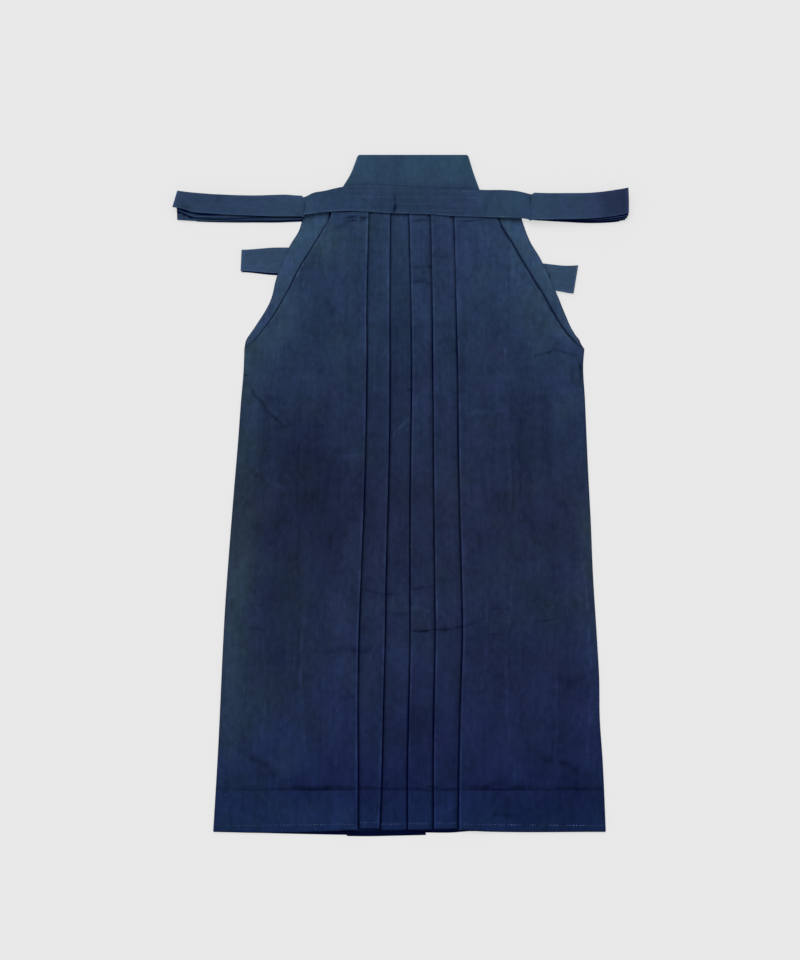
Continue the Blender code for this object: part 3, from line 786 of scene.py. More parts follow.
def backLeg(side):
    out = outward[side]
    cornerX, cornerDrop, cornerStart = headCorner[side]
    stepX, stepDrop = hemStep[side]
    lap, *lapEnds = backPanel["seamLap"]
    near, first = backPanel["besideSlit"], rimSteps[-1]
    rows = [(y, 0) for y in bodyRows(backPanel["top"])]
    rows += [(backPanel["top"], share) for share in backPanel["headShares"]]
    grid, dyeAndShades, halves = [], [], []
    for y, head in rows:
        edge = float(backEdge(side, y))
        front = float(curve(frontSlit[side], y))
        shown = max(solid["leastMargin"], (edge - front) * out) if y > hip else solid["leastMargin"]
        seam = float(curve(centreSeam, y)) + out * (gap / 2 - lap * (1 - float(smooth(*lapEnds, y))))
        margin, last = edge - out * shown, shown - near[0]
        count = backPanel["marginColumns"]
        columns = [edge - out * d for d in rimSteps]
        columns += [edge - out * (first + (last - first) * k / count) for k in range(1, count)]
        columns += [margin + out * d for d in near]
        count = backPanel["panelColumns"]
        columns += [margin + (seam - margin) * k / count for k in range(1, count + 1)]
        if stepDrop:
            columns = sorted(columns + [stepX - backPanel["stepHalf"], stepX + backPanel["stepHalf"]])
        x = np.array(columns)
        settle = 1 - float(smooth(0, solid["settleHeight"], y))
        at = y + (curve(backHem[side], x) - stepDrop * (x > stepX)) * settle
        headLine = solid["boardBase"] - gap - cornerDrop * smooth(cornerStart, cornerX * out, x * out)
        at = at + (headLine - at) * head
        fall = smooth(0, shown, (x - margin) * out)
        lift = backLift(np.where(head > 0, at, y)) * (1 - fall * (1 - overStraps(side, y)))
        grid.append(np.stack([x, at, lift + solidWallAt(y) / 2], axis=-1))

        fromEdge = (edge - x) * out
        half = float(bodyHalf(y)) * rimShare(fromEdge) * rimShare(min(y, 5) if head < 1 else 0.1)
        halves.append(half + backPanel["slitExtra"] * slitTurned(y, fromEdge))
        # inside the slit the back panel is paler, painted light; beside the front panel's edge and along its
        # own edge it has painted shadow; along the hem painted shade
        opened = smooth(hip, hip + backPanel["slitOpen"], y)
        shaded = bell((x - front) * out, legLines["slitDark"][side] + 0.6)
        pale, dark, inner = backPanel["slitLightAndShade"]
        dyeAndShade = opened * (pale - dark * shaded) * (x * out > front * out - inner)
        dyeAndShade = dyeAndShade - opened * pale * bell(fromEdge, 1.0)
        start, end, dark = backPanel["hemDark"]
        dyeAndShades.append(dyeAndShade - dark * (1 - smooth(start, end, y)))
    middle, tone = np.array(grid), np.clip(np.array(dyeAndShades), -1, 1)
    across = arcLength(middle, 1)
    uv = np.stack([(across - across[:, -1:]) * mm, middle[..., 1] * mm], axis=-1)
    name, flip = "backLeg" + side.capitalize(), side == "left"
    return clothShell(name, middle, np.array(halves), uv, tone, 0.35 * (tone > 0), flip)


# The waist.
bandShape = {
    "ends": (-168, 192),
    "flatFrom": (6, 3),
    "rightSteps": (0, 0.15, 0.5, 1.2, 2.2, 3.1, 4),
    "leftSteps": (2, 1.2, 0.5, 0.15, 0),
    "spacing": 2.8,
    "footSteps": (0, 0.15, 0.4, 0.9, 2),
    "frontRows": 18,
    "backRows": 5,
    "foldSteps": 10,
    "rise": (3, 38),  # reach beside the pleats over which the band climbs onto them
    "pleatTop": 945,
    "pleatPrint": (0.16, 3.5),  # how far each pleat shows through, and how wide
    "ripple": (11.3, 30, 24, 0.12),
    "lift": 0.05,
    "deepest": -0.2,
    "cloth": 0.8,
    "footHighlight": (1.5, 1.6, 0.12),
    "footShade": (0.5, 0.5),
}
# Creases on the band, in the columns of the body's creases; the darker ones lie in troughs and are painted
# shade.
bandCreases = (
    (-24, 946, -22, 984, -0.20, 3.0, -0.35),
    (-150, 950, -128, 962, 0.15, 4.0, 0.15),
    (60, 950, 64, 980, 0.12, 4.0, 0.1),
    (120, 945, 128, 978, -0.12, 5.0, -0.12),
    (-62, 948, -60, 985, 0.14, 4.0, 0.12),
    (-165, 949, -165, 962, -0.15, 1.1, -0.85),
    (191.3, 960, 191.3, 974, -0.10, 1.1, -0.7),
    (-24, 944, -20, 956, -0.15, 2.2, -0.5),
)


def frontBand():
    base = float(frontLift(solid["panelEnd"])) + wall + gap
    backLayer = base - gap - wall / 2
    thin, thick = base + wall + gap + wall / 2, base + 3 * (wall + gap) + wall / 2
    near, far = (solid["pleatDepth"] + reach for reach in bandShape["rise"])
    first, last = (float(curve(pleatEdges, bandShape["pleatTop"], column)) for column in (1, 5))
    start, end = bandShape["ends"]
    rightFlat, leftFlat = bandShape["flatFrom"]
    between = np.arange(start + rightFlat, end - leftFlat, bandShape["spacing"])
    rightSteps, leftSteps = np.array(bandShape["rightSteps"]), np.array(bandShape["leftSteps"])
    xs = np.concatenate([start + rightSteps, between, end - leftSteps])
    frontRows, backRows, steps = (bandShape[key] for key in ("frontRows", "backRows", "foldSteps"))
    grid = []
    for x in xs:
        foot, head = float(curve(bandFoot, x)), float(curve(bandHead, x))
        swell = float(smooth(first - far, first - near, x) * (1 - smooth(last + near, last + far, x)))
        frontLayer = thin + (thick - thin) * swell
        radius = (frontLayer - backLayer) / 2
        crown, low = head - radius - wall / 2, foot + bandShape["footSteps"][-1]
        line = [(foot + d, frontLayer) for d in bandShape["footSteps"]]
        line += [(low + (crown - low) * k / frontRows, frontLayer) for k in range(1, frontRows)]
        for k in range(steps + 1):
            a = math.pi / 2 - math.pi * k / steps
            line.append((crown + radius * math.cos(a), (frontLayer + backLayer) / 2 + radius * math.sin(a)))
        line += [(crown + (foot + 1 - crown) * k / backRows, backLayer) for k in range(1, backRows + 1)]
        grid.append([(x, y, z) for y, z in line])
    middle = np.transpose(np.array(grid, float), (1, 0, 2))
    x, y = middle[..., 0], middle[..., 1]
    rise, dyeAndShade = creased(x, y, bandCreases)
    onFront = (middle[..., 2] > thin - 0.6) * 1.0
    height, width = bandShape["pleatPrint"]
    for number in range(1, 6):
        rise = rise + height * bell(x - curve(pleatEdges, bandShape["pleatTop"], number), width)
    rise = rise + ripple(x, y, *bandShape["ripple"]) + bandShape["lift"]
    middle[..., 2] += np.maximum(rise, bandShape["deepest"]) * onFront
    above = y - middle[:1, :, 1]
    half = bandShape["cloth"] / 2 * rimShare(np.minimum(x - start, end - x))
    half = half * rimShare(np.where(onFront > 0, above, 9))
    # painted highlight along the rounded foot of the band, and painted shade at its very rim
    at, width, pale = bandShape["footHighlight"]
    darkWidth, dark = bandShape["footShade"]
    tone = dyeAndShade * onFront + pale * bell(above - at, width) * onFront - dark * bell(above, darkWidth) * onFront
    patches, hue = tonePatches(x, y, waistPatches)
    uv = np.stack([x * mm, arcLength(middle, 0) * mm], axis=-1)
    return clothShell("frontBand", middle, half, uv, tone + patches, hue)


boardShape = {
    "rimSteps": (0, 0.12, 0.4, 0.9, 1.5, 2.2, 3.2),
    "flatFrom": 6,
    "spacing": 3.0,
    "columns": 64,
    "round": (2.2, 0.28),  # how far in its edges round off, and the share of its thickness left there
    "cornerDepth": 4.2,
    "cornerWidth": 0.9,
    "slack": 0.05,
    "ripple": (21.0, 22, 18, 0.12),
    "edgeHighlight": (1.2, 1.2, 0.25),
    "bandShade": (2.2, 0.54),
    "headDark": (1.2, 0.3),
}


def backBoard():
    foot, head = solid["boardBase"], boardSide["right"][-1][0]
    rim, flatFrom, deep = np.array(boardShape["rimSteps"]), boardShape["flatFrom"], boardShape["cornerDepth"]
    between = np.arange(foot + flatFrom, head - flatFrom, boardShape["spacing"])
    grid, distance = [], []
    for y in np.concatenate([foot + rim, between, head - rim[::-1]]):
        near = min(1, max(0, (y - head + deep) / deep))
        cut = deep * (1 - math.sqrt(1 - near ** 2)) * boardShape["cornerWidth"]
        left, right = float(curve(boardSide["right"], y)) + cut, float(curve(boardSide["left"], y)) - cut
        across = np.linspace(left + flatFrom, right - flatFrom, boardShape["columns"])
        xs = np.concatenate([left + rim, across, right - rim[::-1]])
        grid.append([(x, y, solid["boardThickness"] / 2) for x in xs])
        distance.append([min(x - left, right - x, y - foot, head - y) for x in xs])
    middle, distance = np.array(grid, float), np.array(distance)
    x, y = middle[..., 0], middle[..., 1]
    half = solid["boardThickness"] / 2 * roundOff(distance, *boardShape["round"]) - boardShape["slack"]
    half = half + np.minimum(ripple(x, y, *boardShape["ripple"]), 0) * smooth(0, flatFrom, distance)
    # painted highlight along the rounded edges of the board, painted shadow just above the band's fold, and a
    # darker line along its top
    at, width, pale = boardShape["edgeHighlight"]
    bandWidth, dark = boardShape["bandShade"]
    tone = pale * bell(distance - at, width) - dark * bell(y - curve(bandHead, x), bandWidth)
    width, dark = boardShape["headDark"]
    tone -= dark * bell(head - y, width)
    patches, hue = tonePatches(x, y, waistPatches)
    uv = np.stack([x * mm, y * mm], axis=-1)
    return clothShell("backBoard", middle, half, uv, tone + patches, hue)


# The straps, each folded to and fro on itself.
strapShape = {
    "cloth": 0.95,
    "pitch": 1.4,  # from layer to layer
    "backWidth": 43,
    "spacing": 3.2,
    "columns": 9,
    "foldSteps": 8,
    "ripples": ((0, 34, 26, 0.35), (4, 12, 14, 0.12)),  # the first number goes on top of the strap's seed
    "edgeHighlight": (1.5, 0.35),
    "edgeDark": (3.4, 0.9, 0.2),
    "foldPale": (2.5, 0.3),
    "layerShade": 0.85,
    "endFrom": (290, 312),  # the far end of the left strap lies in shade
    "endRed": (262, 306, 0.9),
}
frontStraps = {
    "right": {
        "width": 35.6,
        "turns": (
            (-168.6, 957.2), (-368.2, 957.2), (-170.5, 959.8), (-364.6, 948), (-170.5, 954),
            (-365, 943.4), (-170.3, 952), (-335, 944.6),
        ),
        "driftStart": -215,
        "driftRun": 150,
        "drift": 9,
        "dip": 0,
        "narrowing": (200, 250, 0.06),
        "shoulder": 1.9,
        "slanted": 1,
        "seed": 30.0,
        "under": {"from": 1, "dark": -0.12, "edge": 0.3, "reach": 1.3, "end": 0, "shade": 1.3},
        "ends": ((0.6, 3.4, 5.8), (0.6, 0, 6.5), (0.6, 0, 0), (0.6, 0, 0)),
    },
    "left": {
        "width": 43.8,
        "turns": (
            (192.8, 954.7), (344.6, 956.9), (197, 956.6), (344.3, 953.9), (197, 957.8), (344.3, 951.5),
            (197, 958.2), (344, 950), (198, 958.4), (336, 950),
        ),
        "driftStart": 265,
        "driftRun": 80,
        "drift": 8.6,
        "dip": 2.6,
        "narrowing": (200, 260, 0),
        "shoulder": -0.7,
        "slanted": 0,
        "seed": 32.0,
        "under": {"from": 1, "dark": -0.72, "edge": 1.2, "reach": 1.3, "end": -0.33, "shade": 0.9},
        "ends": ((0.4, -0.8, 0), (0.6, 0, 0), (1.4, 0, 0), (2.8, 0, 0), (4, 0, 0)),
    },
}
# Creases on the top layers of the straps, in the columns of the body's creases; the darker ones are painted
# shade, such as the shadow of the leg's edge across the left back strap.
strapCreases = {
    "frontStrapRight": (
        (-174.8, 963, -174.5, 947, -0.05, 0.8, -0.75),
        (-172.6, 941, -170.5, 939.5, -0.05, 1.4, -0.8),
        (-230, 975, -226, 950, 0.12, 5.0, 0.1),
        (-300, 978, -306, 952, -0.12, 5.0, -0.12),
    ),
    "frontStrapLeft": (
        (240, 972, 246, 940, 0.12, 4.5, 0.1),
    ),
    "backStrapRight": (
        (-168, 862, -192, 860, 0.05, 1.2, 0.3),
    ),
    "backStrapLeft": (
        (212.8, 855, 221.0, 833.5, -0.10, 1.7, -1.1),
        (224, 846, 250, 842, 0.06, 1.0, 0.45),
        (222, 837, 246, 833, 0.06, 1.0, 0.35),
    ),
}
strapRuns = {
    "dip": 4,
    "rootTuck": 4.6,
    "rootDrop": (1.3, -0.3, 3.5),
    "rootSlant": (0.24, 932, 9, 14),  # slope of the inner folds, from y up, how high, and its reach
    "shoulder": 30,
    "bow": 24,
    "mostBow": 1.3,
    "tuck": 35,
}
backStraps = {
    "right": {
        "turns": ((-105, 960.7), (-105, 867.8), (-261, 867.3), (-66, 861.8), (-260, 866.2)),
        "narrowing": (205, 262, 0.17),
        "seed": 46.0,
        "under": {"from": 2, "dark": -0.85, "edge": 0.1, "reach": 1.0, "end": 0, "shade": 1.3},
        "lean": 0,
        "rise": 0,
    },
    "left": {
        "turns": ((103, 960.7), (103, 854.3), (259.7, 834), (138, 851), (248, 836.3)),
        "narrowing": (232, 262, -0.07),
        "seed": 45.0,
        "under": {"from": 2, "dark": -0.4, "edge": 0.5, "reach": 1.5, "end": 0, "shade": 1.3},
        "lean": 1.5,
        "rise": 3.6,
    },
}


def ribbonRows(turns, widths, height, warp):  # rows across a folded ribbon: points, length, fold, run
    turns = [np.array(point, float) for point in turns]
    headings = [(b - a) / np.linalg.norm(b - a) for a, b in zip(turns, turns[1:])]
    side = np.array((-headings[0][1], headings[0][0]))
    rows, pitch, steps = [], strapShape["pitch"], strapShape["foldSteps"]
    foldWidth = strapShape["foldPale"][0]
    slant, length = 0.0, 0.0
    for run, heading in enumerate(headings):
        last = run == len(headings) - 1
        reach = float(np.linalg.norm(turns[run + 1] - turns[run]))
        nextSlant = 0.0
        if not last:
            ahead = heading - headings[run + 1]
            ahead /= np.linalg.norm(ahead)
            line = np.array((-ahead[1], ahead[0]))
            nextSlant = float(line @ heading) / float(line @ side)
        count = max(4, round(reach / strapShape["spacing"]))
        shares = [k / count for k in range(count + 1)]
        if last:
            shares = shares[:-1] + [1 - d / reach for d in rimSteps[::-1]]
        for u in shares:
            lean = slant + (nextSlant - slant) * u
            points = [turns[run] + heading * (reach * u + w * lean) + side * w for w in widths]
            points = [(*warp(run, *point), float(height(run, *point))) for point in points]
            fold = bell(reach * u, foldWidth) * (run > 0) + bell(reach * (1 - u), foldWidth) * (not last)
            rows.append((points, length + reach * u, fold, run))
        length += reach
        if last:
            return rows
        points = [turns[run + 1] + heading * w * nextSlant + side * w for w in widths]
        high = [float(height(run, *point)) for point in points]
        low = [float(height(run + 1, *point)) for point in points]
        for k in range(1, steps):
            a = math.pi * k / steps
            moved = [point + ahead * pitch / 2 * math.sin(a) for point in points]
            levels = [(h + l) / 2 + (h - l) / 2 * math.cos(a) for h, l in zip(high, low)]
            turned = [(*warp(run, *point), level) for point, level in zip(moved, levels)]
            rows.append((turned, length + pitch * k / steps, 1.0, run + k / steps))
        side = 2 * float(line @ side) * line - side
        slant = float(line @ headings[run + 1]) / float(line @ side)


def foldedStrap(name, turns, width, height, warp, strap):
    seed, under = strap["seed"], strap["under"]
    rim = np.array(rimSteps)
    inner = np.linspace(-width / 2 + 2, width / 2 - 2, strapShape["columns"])
    widths = np.concatenate([-width / 2 + rim, inner, width / 2 - rim[::-1]])
    points, lengths, folds, runs = zip(*ribbonRows(turns, widths, height, warp))
    middle = np.array(points, float)
    lengths, folds, runs = (np.array(values)[:, None] for values in (lengths, folds, runs))
    x, y = middle[..., 0], middle[..., 1]
    fromSide = (width / 2 - np.abs(widths))[None, :]
    waves = sum(ripple(x, y, seed + more, *wave) for more, *wave in strapShape["ripples"])
    middle[..., 2] += np.maximum(0, waves)
    rise, crease = creased(x, y, strapCreases[name])
    middle[..., 2] += rise * (runs < 1) * (1 - bell(fromSide, 1.5))
    half = strapShape["cloth"] / 2 * rimShare(fromSide)
    half = half * rimShare(lengths.max() - lengths) * rimShare(lengths + 0.3)

    # painted highlight along the rounded sides of the strap, with a darker line just in from them and paler
    # folds
    (paleWidth, pale), (at, darkWidth, dark) = strapShape["edgeHighlight"], strapShape["edgeDark"]
    tone = pale * bell(fromSide, paleWidth) - dark * bell(fromSide - at, darkWidth)
    tone = tone + strapShape["foldPale"][1] * folds
    # the layers underneath lie in painted shade, with a painted highlight along their rounded rims
    sunk = np.clip(runs - under["from"] + 1, 0, 1)
    tone = tone * (1 - sunk) + sunk * (under["dark"] + under["edge"] * bell(fromSide, under["reach"]))
    for run in range(under["from"] - 1, len(turns) - 2):  # dark just below each layer, on the ones under it
        rows = np.flatnonzero(runs[:, 0] == run)
        low = middle[rows, middle[rows, :, 1].argmin(axis=1)]
        low = low[low[:, 0].argsort()]
        below = np.interp(x, low[:, 0], low[:, 1]) - y
        tone -= strapShape["layerShade"] * bell(below - 0.5, under["shade"]) * (runs > run)
    tone += crease * (runs < 2)
    patches, hue = tonePatches(x, y, waistPatches)
    tone = tone + patches + under["end"] * smooth(*strapShape["endFrom"], x)
    start, end, red = strapShape["endRed"]
    hue = hue - red * (under["end"] < 0) * smooth(start, end, x)
    uv = np.stack(np.broadcast_arrays(widths[None, :] * mm, lengths * mm), axis=-1)
    return clothShell(name, middle, half, uv, tone, hue, flip=True)


def frontStrap(side):
    strap = frontStraps[side]
    out = outward[side]
    turns, layers = strap["turns"], len(strap["turns"]) - 1
    root, level = turns[0][0] * out, turns[0][1]
    tip = turns[1][0] * out
    start, end, share = strap["narrowing"]
    tucked = turns[0][0] - strapRuns["rootTuck"] * out  # in between the layers of the band
    turns = ((tucked, turns[0][1]),) + turns[1:]

    def height(run, x, y):
        middle = solid["strapWall"] / 2 + (layers - 1 - run) * strapShape["pitch"]
        if run == 0:
            drop, inner, outer = strapRuns["rootDrop"]
            middle -= strap["dip"] * (1 - smooth(root, root + strapRuns["dip"], x * out))
            middle -= drop * (1 - smooth(root + inner, root + outer, x * out))
        return middle

    def warp(run, x, y):
        bow, lean, tuck = strap["ends"][run // 2]
        far = x * out
        aside = (y - level) / (strap["width"] / 2)
        back = bow * min(aside * aside, strapRuns["mostBow"]) + lean * min(max(aside, -1), 1)
        rise = strap["drift"] * (max(0, (x - strap["driftStart"]) * out) / strap["driftRun"]) ** 2
        rise += tuck * max(0, -aside) * float(smooth(tip - strapRuns["tuck"], tip, far))
        nearRoot = 1 - float(smooth(root, root + strapRuns["shoulder"], far))
        rise -= strap["shoulder"] * max(0, aside) * nearRoot
        y = level + (y - level) * (1 - share * float(smooth(start, end, far)))
        x -= back * float(smooth(tip - strapRuns["bow"], tip, far)) * out
        if run > 0:  # the inner folds follow the slanting edge of the leg beside them
            slope, low, most, reach = strapRuns["rootSlant"]
            slant = slope * min(max(0, y + rise - low), most)
            x -= slant * (1 - float(smooth(root, root + reach, far))) * out * strap["slanted"]
        return x, y + rise

    return foldedStrap("frontStrap" + side.capitalize(), turns, strap["width"], height, warp, strap)


def backStrap(side):
    strap = backStraps[side]
    turns, layers = strap["turns"], len(strap["turns"]) - 1
    level = turns[1][1]
    start, end, share = strap["narrowing"]

    def height(run, x, y):
        middle = solid["strapWall"] / 2 + (layers - 1 - run) * strapShape["pitch"]
        return middle - (solid["feedDrop"] * smooth(*solid["feedSlope"], y) if run == 0 else 0)

    def warp(run, x, y):
        aside = (y - level) / (strapShape["backWidth"] / 2)
        far = float(smooth(start, end, abs(x)))
        rise = strap["rise"] * max(0, (abs(x) - start) / (end - start)) ** 2
        x += strap["lean"] * aside * far * math.copysign(1, x)
        return x, level + (y - level) * (1 - share * far) + rise

    return foldedStrap("backStrap" + side.capitalize(), turns, strapShape["backWidth"], height, warp, strap)


pieces = {}
for wearer in ("right", "left"):
    pieces["back_leg_" + wearer] = backLeg(wearer)
    pieces["front_leg_" + wearer] = frontLeg(wearer)
    pieces["front_strap_" + wearer] = frontStrap(wearer)
    pieces["back_strap_" + wearer] = backStrap(wearer)
pieces["front_band"] = frontBand()
pieces["back_board"] = backBoard()
print("cloth shaped:", sum(len(piece.data.polygons) for piece in pieces.values()) * 2, "triangles")


# The stitches, each a small bead of thread copied along its seam.
thread = {
    "size": (2.0, 0.6, 0.34),
    "sides": 6,
    "rings": 4,
    "sink": 0.05,
    "waver": 0.73,  # how fast the sewing wavers, for each stitch, and how far each way
    "spread": 0.25,
    "aside": 0.12,
    "turn": 9,
    "stretch": 0.35,
}
seams = {
    "hemPitch": 4.4,
    "hemHeight": 8.4,
    "hemEdgesAt": 8,
    "hemEnds": {"right": -274.5, "left": 273.5},
    "besideFold": 1.5,
    "stripWidest": 60,
    "hemPlaces": ((-135, 24), (194, 70)),  # where the hem's stitches are longest
    "slitPitch": 3.6,
    "slitRows": {  # y from, to, inset from the edge, length share, seed
        "right": (728, 938, 1.9, 1.0, 2.0),
        "left": (728, 934, 3.8, 0.55, 3.0),
    },
    "backRow": (730, 930, 3.4, 4.0),
    "bandPitch": 3.9,
    "bandRows": (948.5, 959.5, 971.0, 981.5),
    "bandBend": ((-104, 0.5), (0, 0.2), (107, -1.2)),  # x, and how far a row bends there
    "bandTurn": 60,
    "bandShare": 0.42,
    "edgePitch": 3.4,
    "edgeRow": (-165, 189, 1.8),
}


def threadBead():
    sides, rings = thread["sides"], thread["rings"]
    bpy.ops.mesh.primitive_uv_sphere_add(segments=sides, ring_count=rings, radius=0.5 * mm)
    bead = bpy.context.object
    bpy.ops.object.mode_set(mode="EDIT")
    bpy.ops.mesh.select_all(action="SELECT")
    bpy.ops.transform.rotate(value=math.pi / 2, orient_axis="Y", center_override=(0, 0, 0))
    bpy.ops.transform.resize(value=thread["size"], center_override=(0, 0, 0))
    bpy.ops.object.mode_set(mode="OBJECT")
    bead.select_set(False)
    points = np.array([vertex.co for vertex in bead.data.vertices])
    faces = sorted(tuple(face.vertices) for face in bead.data.polygons)  # their own order varies by the run
    bpy.data.objects.remove(bead)
    return points, faces


def surfaceOf(*names):
    points, faces = [], []
    for name in names:
        mesh = pieces[name].data
        start = len(points)
        points += [tuple(vertex.co) for vertex in mesh.vertices]
        faces += [tuple(start + i for i in face.vertices) for face in mesh.polygons]
    return BVHTree.FromPolygons(points, faces)


beadPoints, beadFaces = threadBead()


def stitching(name, places, surface):  # places: x, y, heading in degrees, length share
    points, faces = [], []
    for x, y, heading, share in places:
        hit, normal, _, _ = surface.ray_cast(Vector((x * mm + rowX, y * mm + rowY, 0.1)), Vector((0, 0, -1)))
        if hit is None:
            continue
        a = math.radians(heading)
        ahead = Vector((math.cos(a), math.sin(a), 0))
        ahead = (ahead - normal * ahead.dot(normal)).normalized()
        turned = np.array([ahead * share, normal.cross(ahead), normal]).T
        start = len(points) * len(beadPoints)
        points.append(beadPoints @ turned.T + np.array(hit - normal * thread["sink"] * mm))
        faces += [tuple(start + i for i in face) for face in beadFaces]
    mesh = bpy.data.meshes.new(name)
    mesh.from_pydata(np.vstack(points).tolist(), [], faces)
    return placed(name, mesh)


def stitchesAlong(points, pitch, inset=0.0, seed=0.0):  # unevenly spaced along a line, set in to its left
    points = np.array(points, float)
    step = np.linalg.norm(np.diff(points, axis=0), axis=1)
    total = np.concatenate([[0], np.cumsum(step)])
    places = []
    at = pitch / 2
    while at < total[-1]:
        shift = noise.noise(Vector((at / pitch * thread["waver"], seed, 0.5)))
        here = min(max(at + thread["spread"] * shift * pitch, 0), total[-1])
        i = min(int(np.searchsorted(total, here, side="right")) - 1, len(step) - 1)
        u = (here - total[i]) / step[i]
        x, y = points[i] + (points[i + 1] - points[i]) * u
        dx, dy = (points[i + 1] - points[i]) / step[i]
        side = inset + thread["aside"] * shift
        heading = math.degrees(math.atan2(dy, dx)) + thread["turn"] * shift
        places.append((x - dy * side, y + dx * side, heading, 1 + thread["stretch"] * shift))
        at += pitch
    return places


def hemStitches(side):
    edges = [float(curve(pleatEdges, seams["hemEdgesAt"], column)) for column in range(1, 6)]
    end = seams["hemEnds"][side]
    marks = [end, *edges[:3]] if side == "right" else [*edges[2:], end]
    places = []
    for number, (start, end) in enumerate(zip(marks, marks[1:])):
        start, end = start + seams["besideFold"], end - seams["besideFold"]
        if end - start > seams["stripWidest"]:
            drops = [float(curve(frontHem[side], x)) for x in (start, end)]
        else:
            drops = [stripHem[side][number - 1 if side == "right" else 1 - number]] * 2
        line = [(x, seams["hemHeight"] + drop) for x, drop in zip((start, end), drops)]
        places += stitchesAlong(line, seams["hemPitch"], seed=start)
    return [(x, y, a, share * clearest(x, 0.75, seams["hemPlaces"])) for x, y, a, share in places]


def slitLine(table, start, end):
    return [(float(curve(table, y)), float(y)) for y in np.linspace(start, end, 40)]


trim = []
bothFronts = surfaceOf("front_leg_right", "front_leg_left")
trim.append(stitching("hemStitches", hemStitches("right") + hemStitches("left"), bothFronts))
places = []
for side, (start, end, inset, shorter, seed) in seams["slitRows"].items():
    line = slitLine(frontSlit[side], start, end)
    row = stitchesAlong(line, seams["slitPitch"], inset * outward[side], seed)
    places += [(x, y, a, shorter * share) for x, y, a, share in row]
trim.append(stitching("slitStitches", places, bothFronts))
allPanels = surfaceOf("back_leg_right", "back_leg_left", "front_leg_right", "front_leg_left")
for side, out in outward.items():
    start, end, inset, seed = seams["backRow"]
    row = stitchesAlong(slitLine(backSlit[side], start, end), seams["slitPitch"], inset * out, seed)
    trim.append(stitching("backSlitStitches" + side.capitalize(), row, allPanels))
waist = surfaceOf("front_band")
places = []
for number, y in enumerate(seams["bandRows"]):
    line = [(x, y + bend) for x, bend in seams["bandBend"]]
    row = stitchesAlong(line, seams["bandPitch"], seed=number * 3.7)
    places += [(x, y, a + seams["bandTurn"], seams["bandShare"] * share) for x, y, a, share in row]
trim.append(stitching("bandStitches", places, waist))
start, end, above = seams["edgeRow"]
foot = [(x, float(curve(bandFoot, x)) + above) for x in np.linspace(start, end, 60)]
trim.append(stitching("bandEdgeStitches", stitchesAlong(foot, seams["edgePitch"], seed=9.0), waist))
print("stitches set:", sum(len(piece.data.polygons) for piece in trim))


# The finishes.
def linear(r, g, b):
    shares = (c / 255 / 12.92 if c <= 10 else ((c / 255 + 0.055) / 1.055) ** 2.4 for c in (r, g, b))
    return tuple(shares) + (1.0,)


def addNode(tree, kind, **settings):
    made = tree.nodes.new(kind)
    for name, value in settings.items():
        setattr(made, name, value)
    return made


def feed(tree, sockets, values):  # each value is a number or colour to set, or an output to link
    for socket, value in zip(sockets, values):
        if isinstance(value, bpy.types.NodeSocket):
            tree.links.new(value, socket)
        elif value is not None:
            socket.default_value = value


def feedNamed(tree, node, values):
    feed(tree, [node.inputs[name] for name in values], values.values())


def mathNode(tree, operation, *values, clamp=False):
    made = addNode(tree, "ShaderNodeMath", operation=operation, use_clamp=clamp)
    feed(tree, made.inputs, values)
    return made.outputs[0]


def vectorNode(tree, operation, *values):
    made = addNode(tree, "ShaderNodeVectorMath", operation=operation)
    feed(tree, made.inputs, values)
    return made.outputs[0]


def splitNode(tree, vector):
    made = addNode(tree, "ShaderNodeSeparateXYZ")
    tree.links.new(vector, made.inputs[0])
    return made.outputs


def bumpNode(tree, height, strength, distance):
    made = addNode(tree, "ShaderNodeBump")
    feedNamed(tree, made, {"Strength": strength, "Distance": distance * mm, "Height": height})
    return made.outputs["Normal"]


def noiseNode(tree, vector, scale, detail, rough):
    made = addNode(tree, "ShaderNodeTexNoise")
    feedNamed(tree, made, {"Vector": vector, "Scale": scale, "Detail": detail, "Roughness": rough})
    return made.outputs["Fac"]


def newGroup(name, inputs, outputs):
    tree = bpy.data.node_groups.new(name, "ShaderNodeTree")
    for title, kind, value in inputs:
        socket = tree.interface.new_socket(name=title, in_out="INPUT", socket_type="NodeSocket" + kind)
        if value is not None:
            socket.default_value = value
    for title, kind in outputs:
        tree.interface.new_socket(name=title, in_out="OUTPUT", socket_type="NodeSocket" + kind)
    return tree, addNode(tree, "NodeGroupInput").outputs, addNode(tree, "NodeGroupOutput")


def newFinish(name):
    made = bpy.data.materials.new(name)
    made.use_nodes = True
    return made, made.node_tree, made.node_tree.nodes["Principled BSDF"]


slubs = (  # uneven yarn and dye: cells in a metre across and down, detail, share
    (75, 1.6, 3.0, 0.5),
    (240, 9, 2.0, 0.42),
    (520, 26, 2.0, 0.3),
    (1300, 90, 2.0, 0.2),
    (26, 700, 2.0, 0.12),
    (130, 85, 3.0, 1.15),
    (30, 17, 3.0, 1.3),
)
lint = (  # pale specks: cells in a metre across and down, size in cells, share of the cells, how much paler
    (95, 70, 0.09, 0.05, 0.9),
    (210, 130, 0.15, 0.07, 0.7),
    (160, 24, 0.13, 0.12, 0.5),
)


weaveForm = {"relief": 0.22, "slubRelief": 0.45, "rough": 0.84, "slubRough": -0.08}


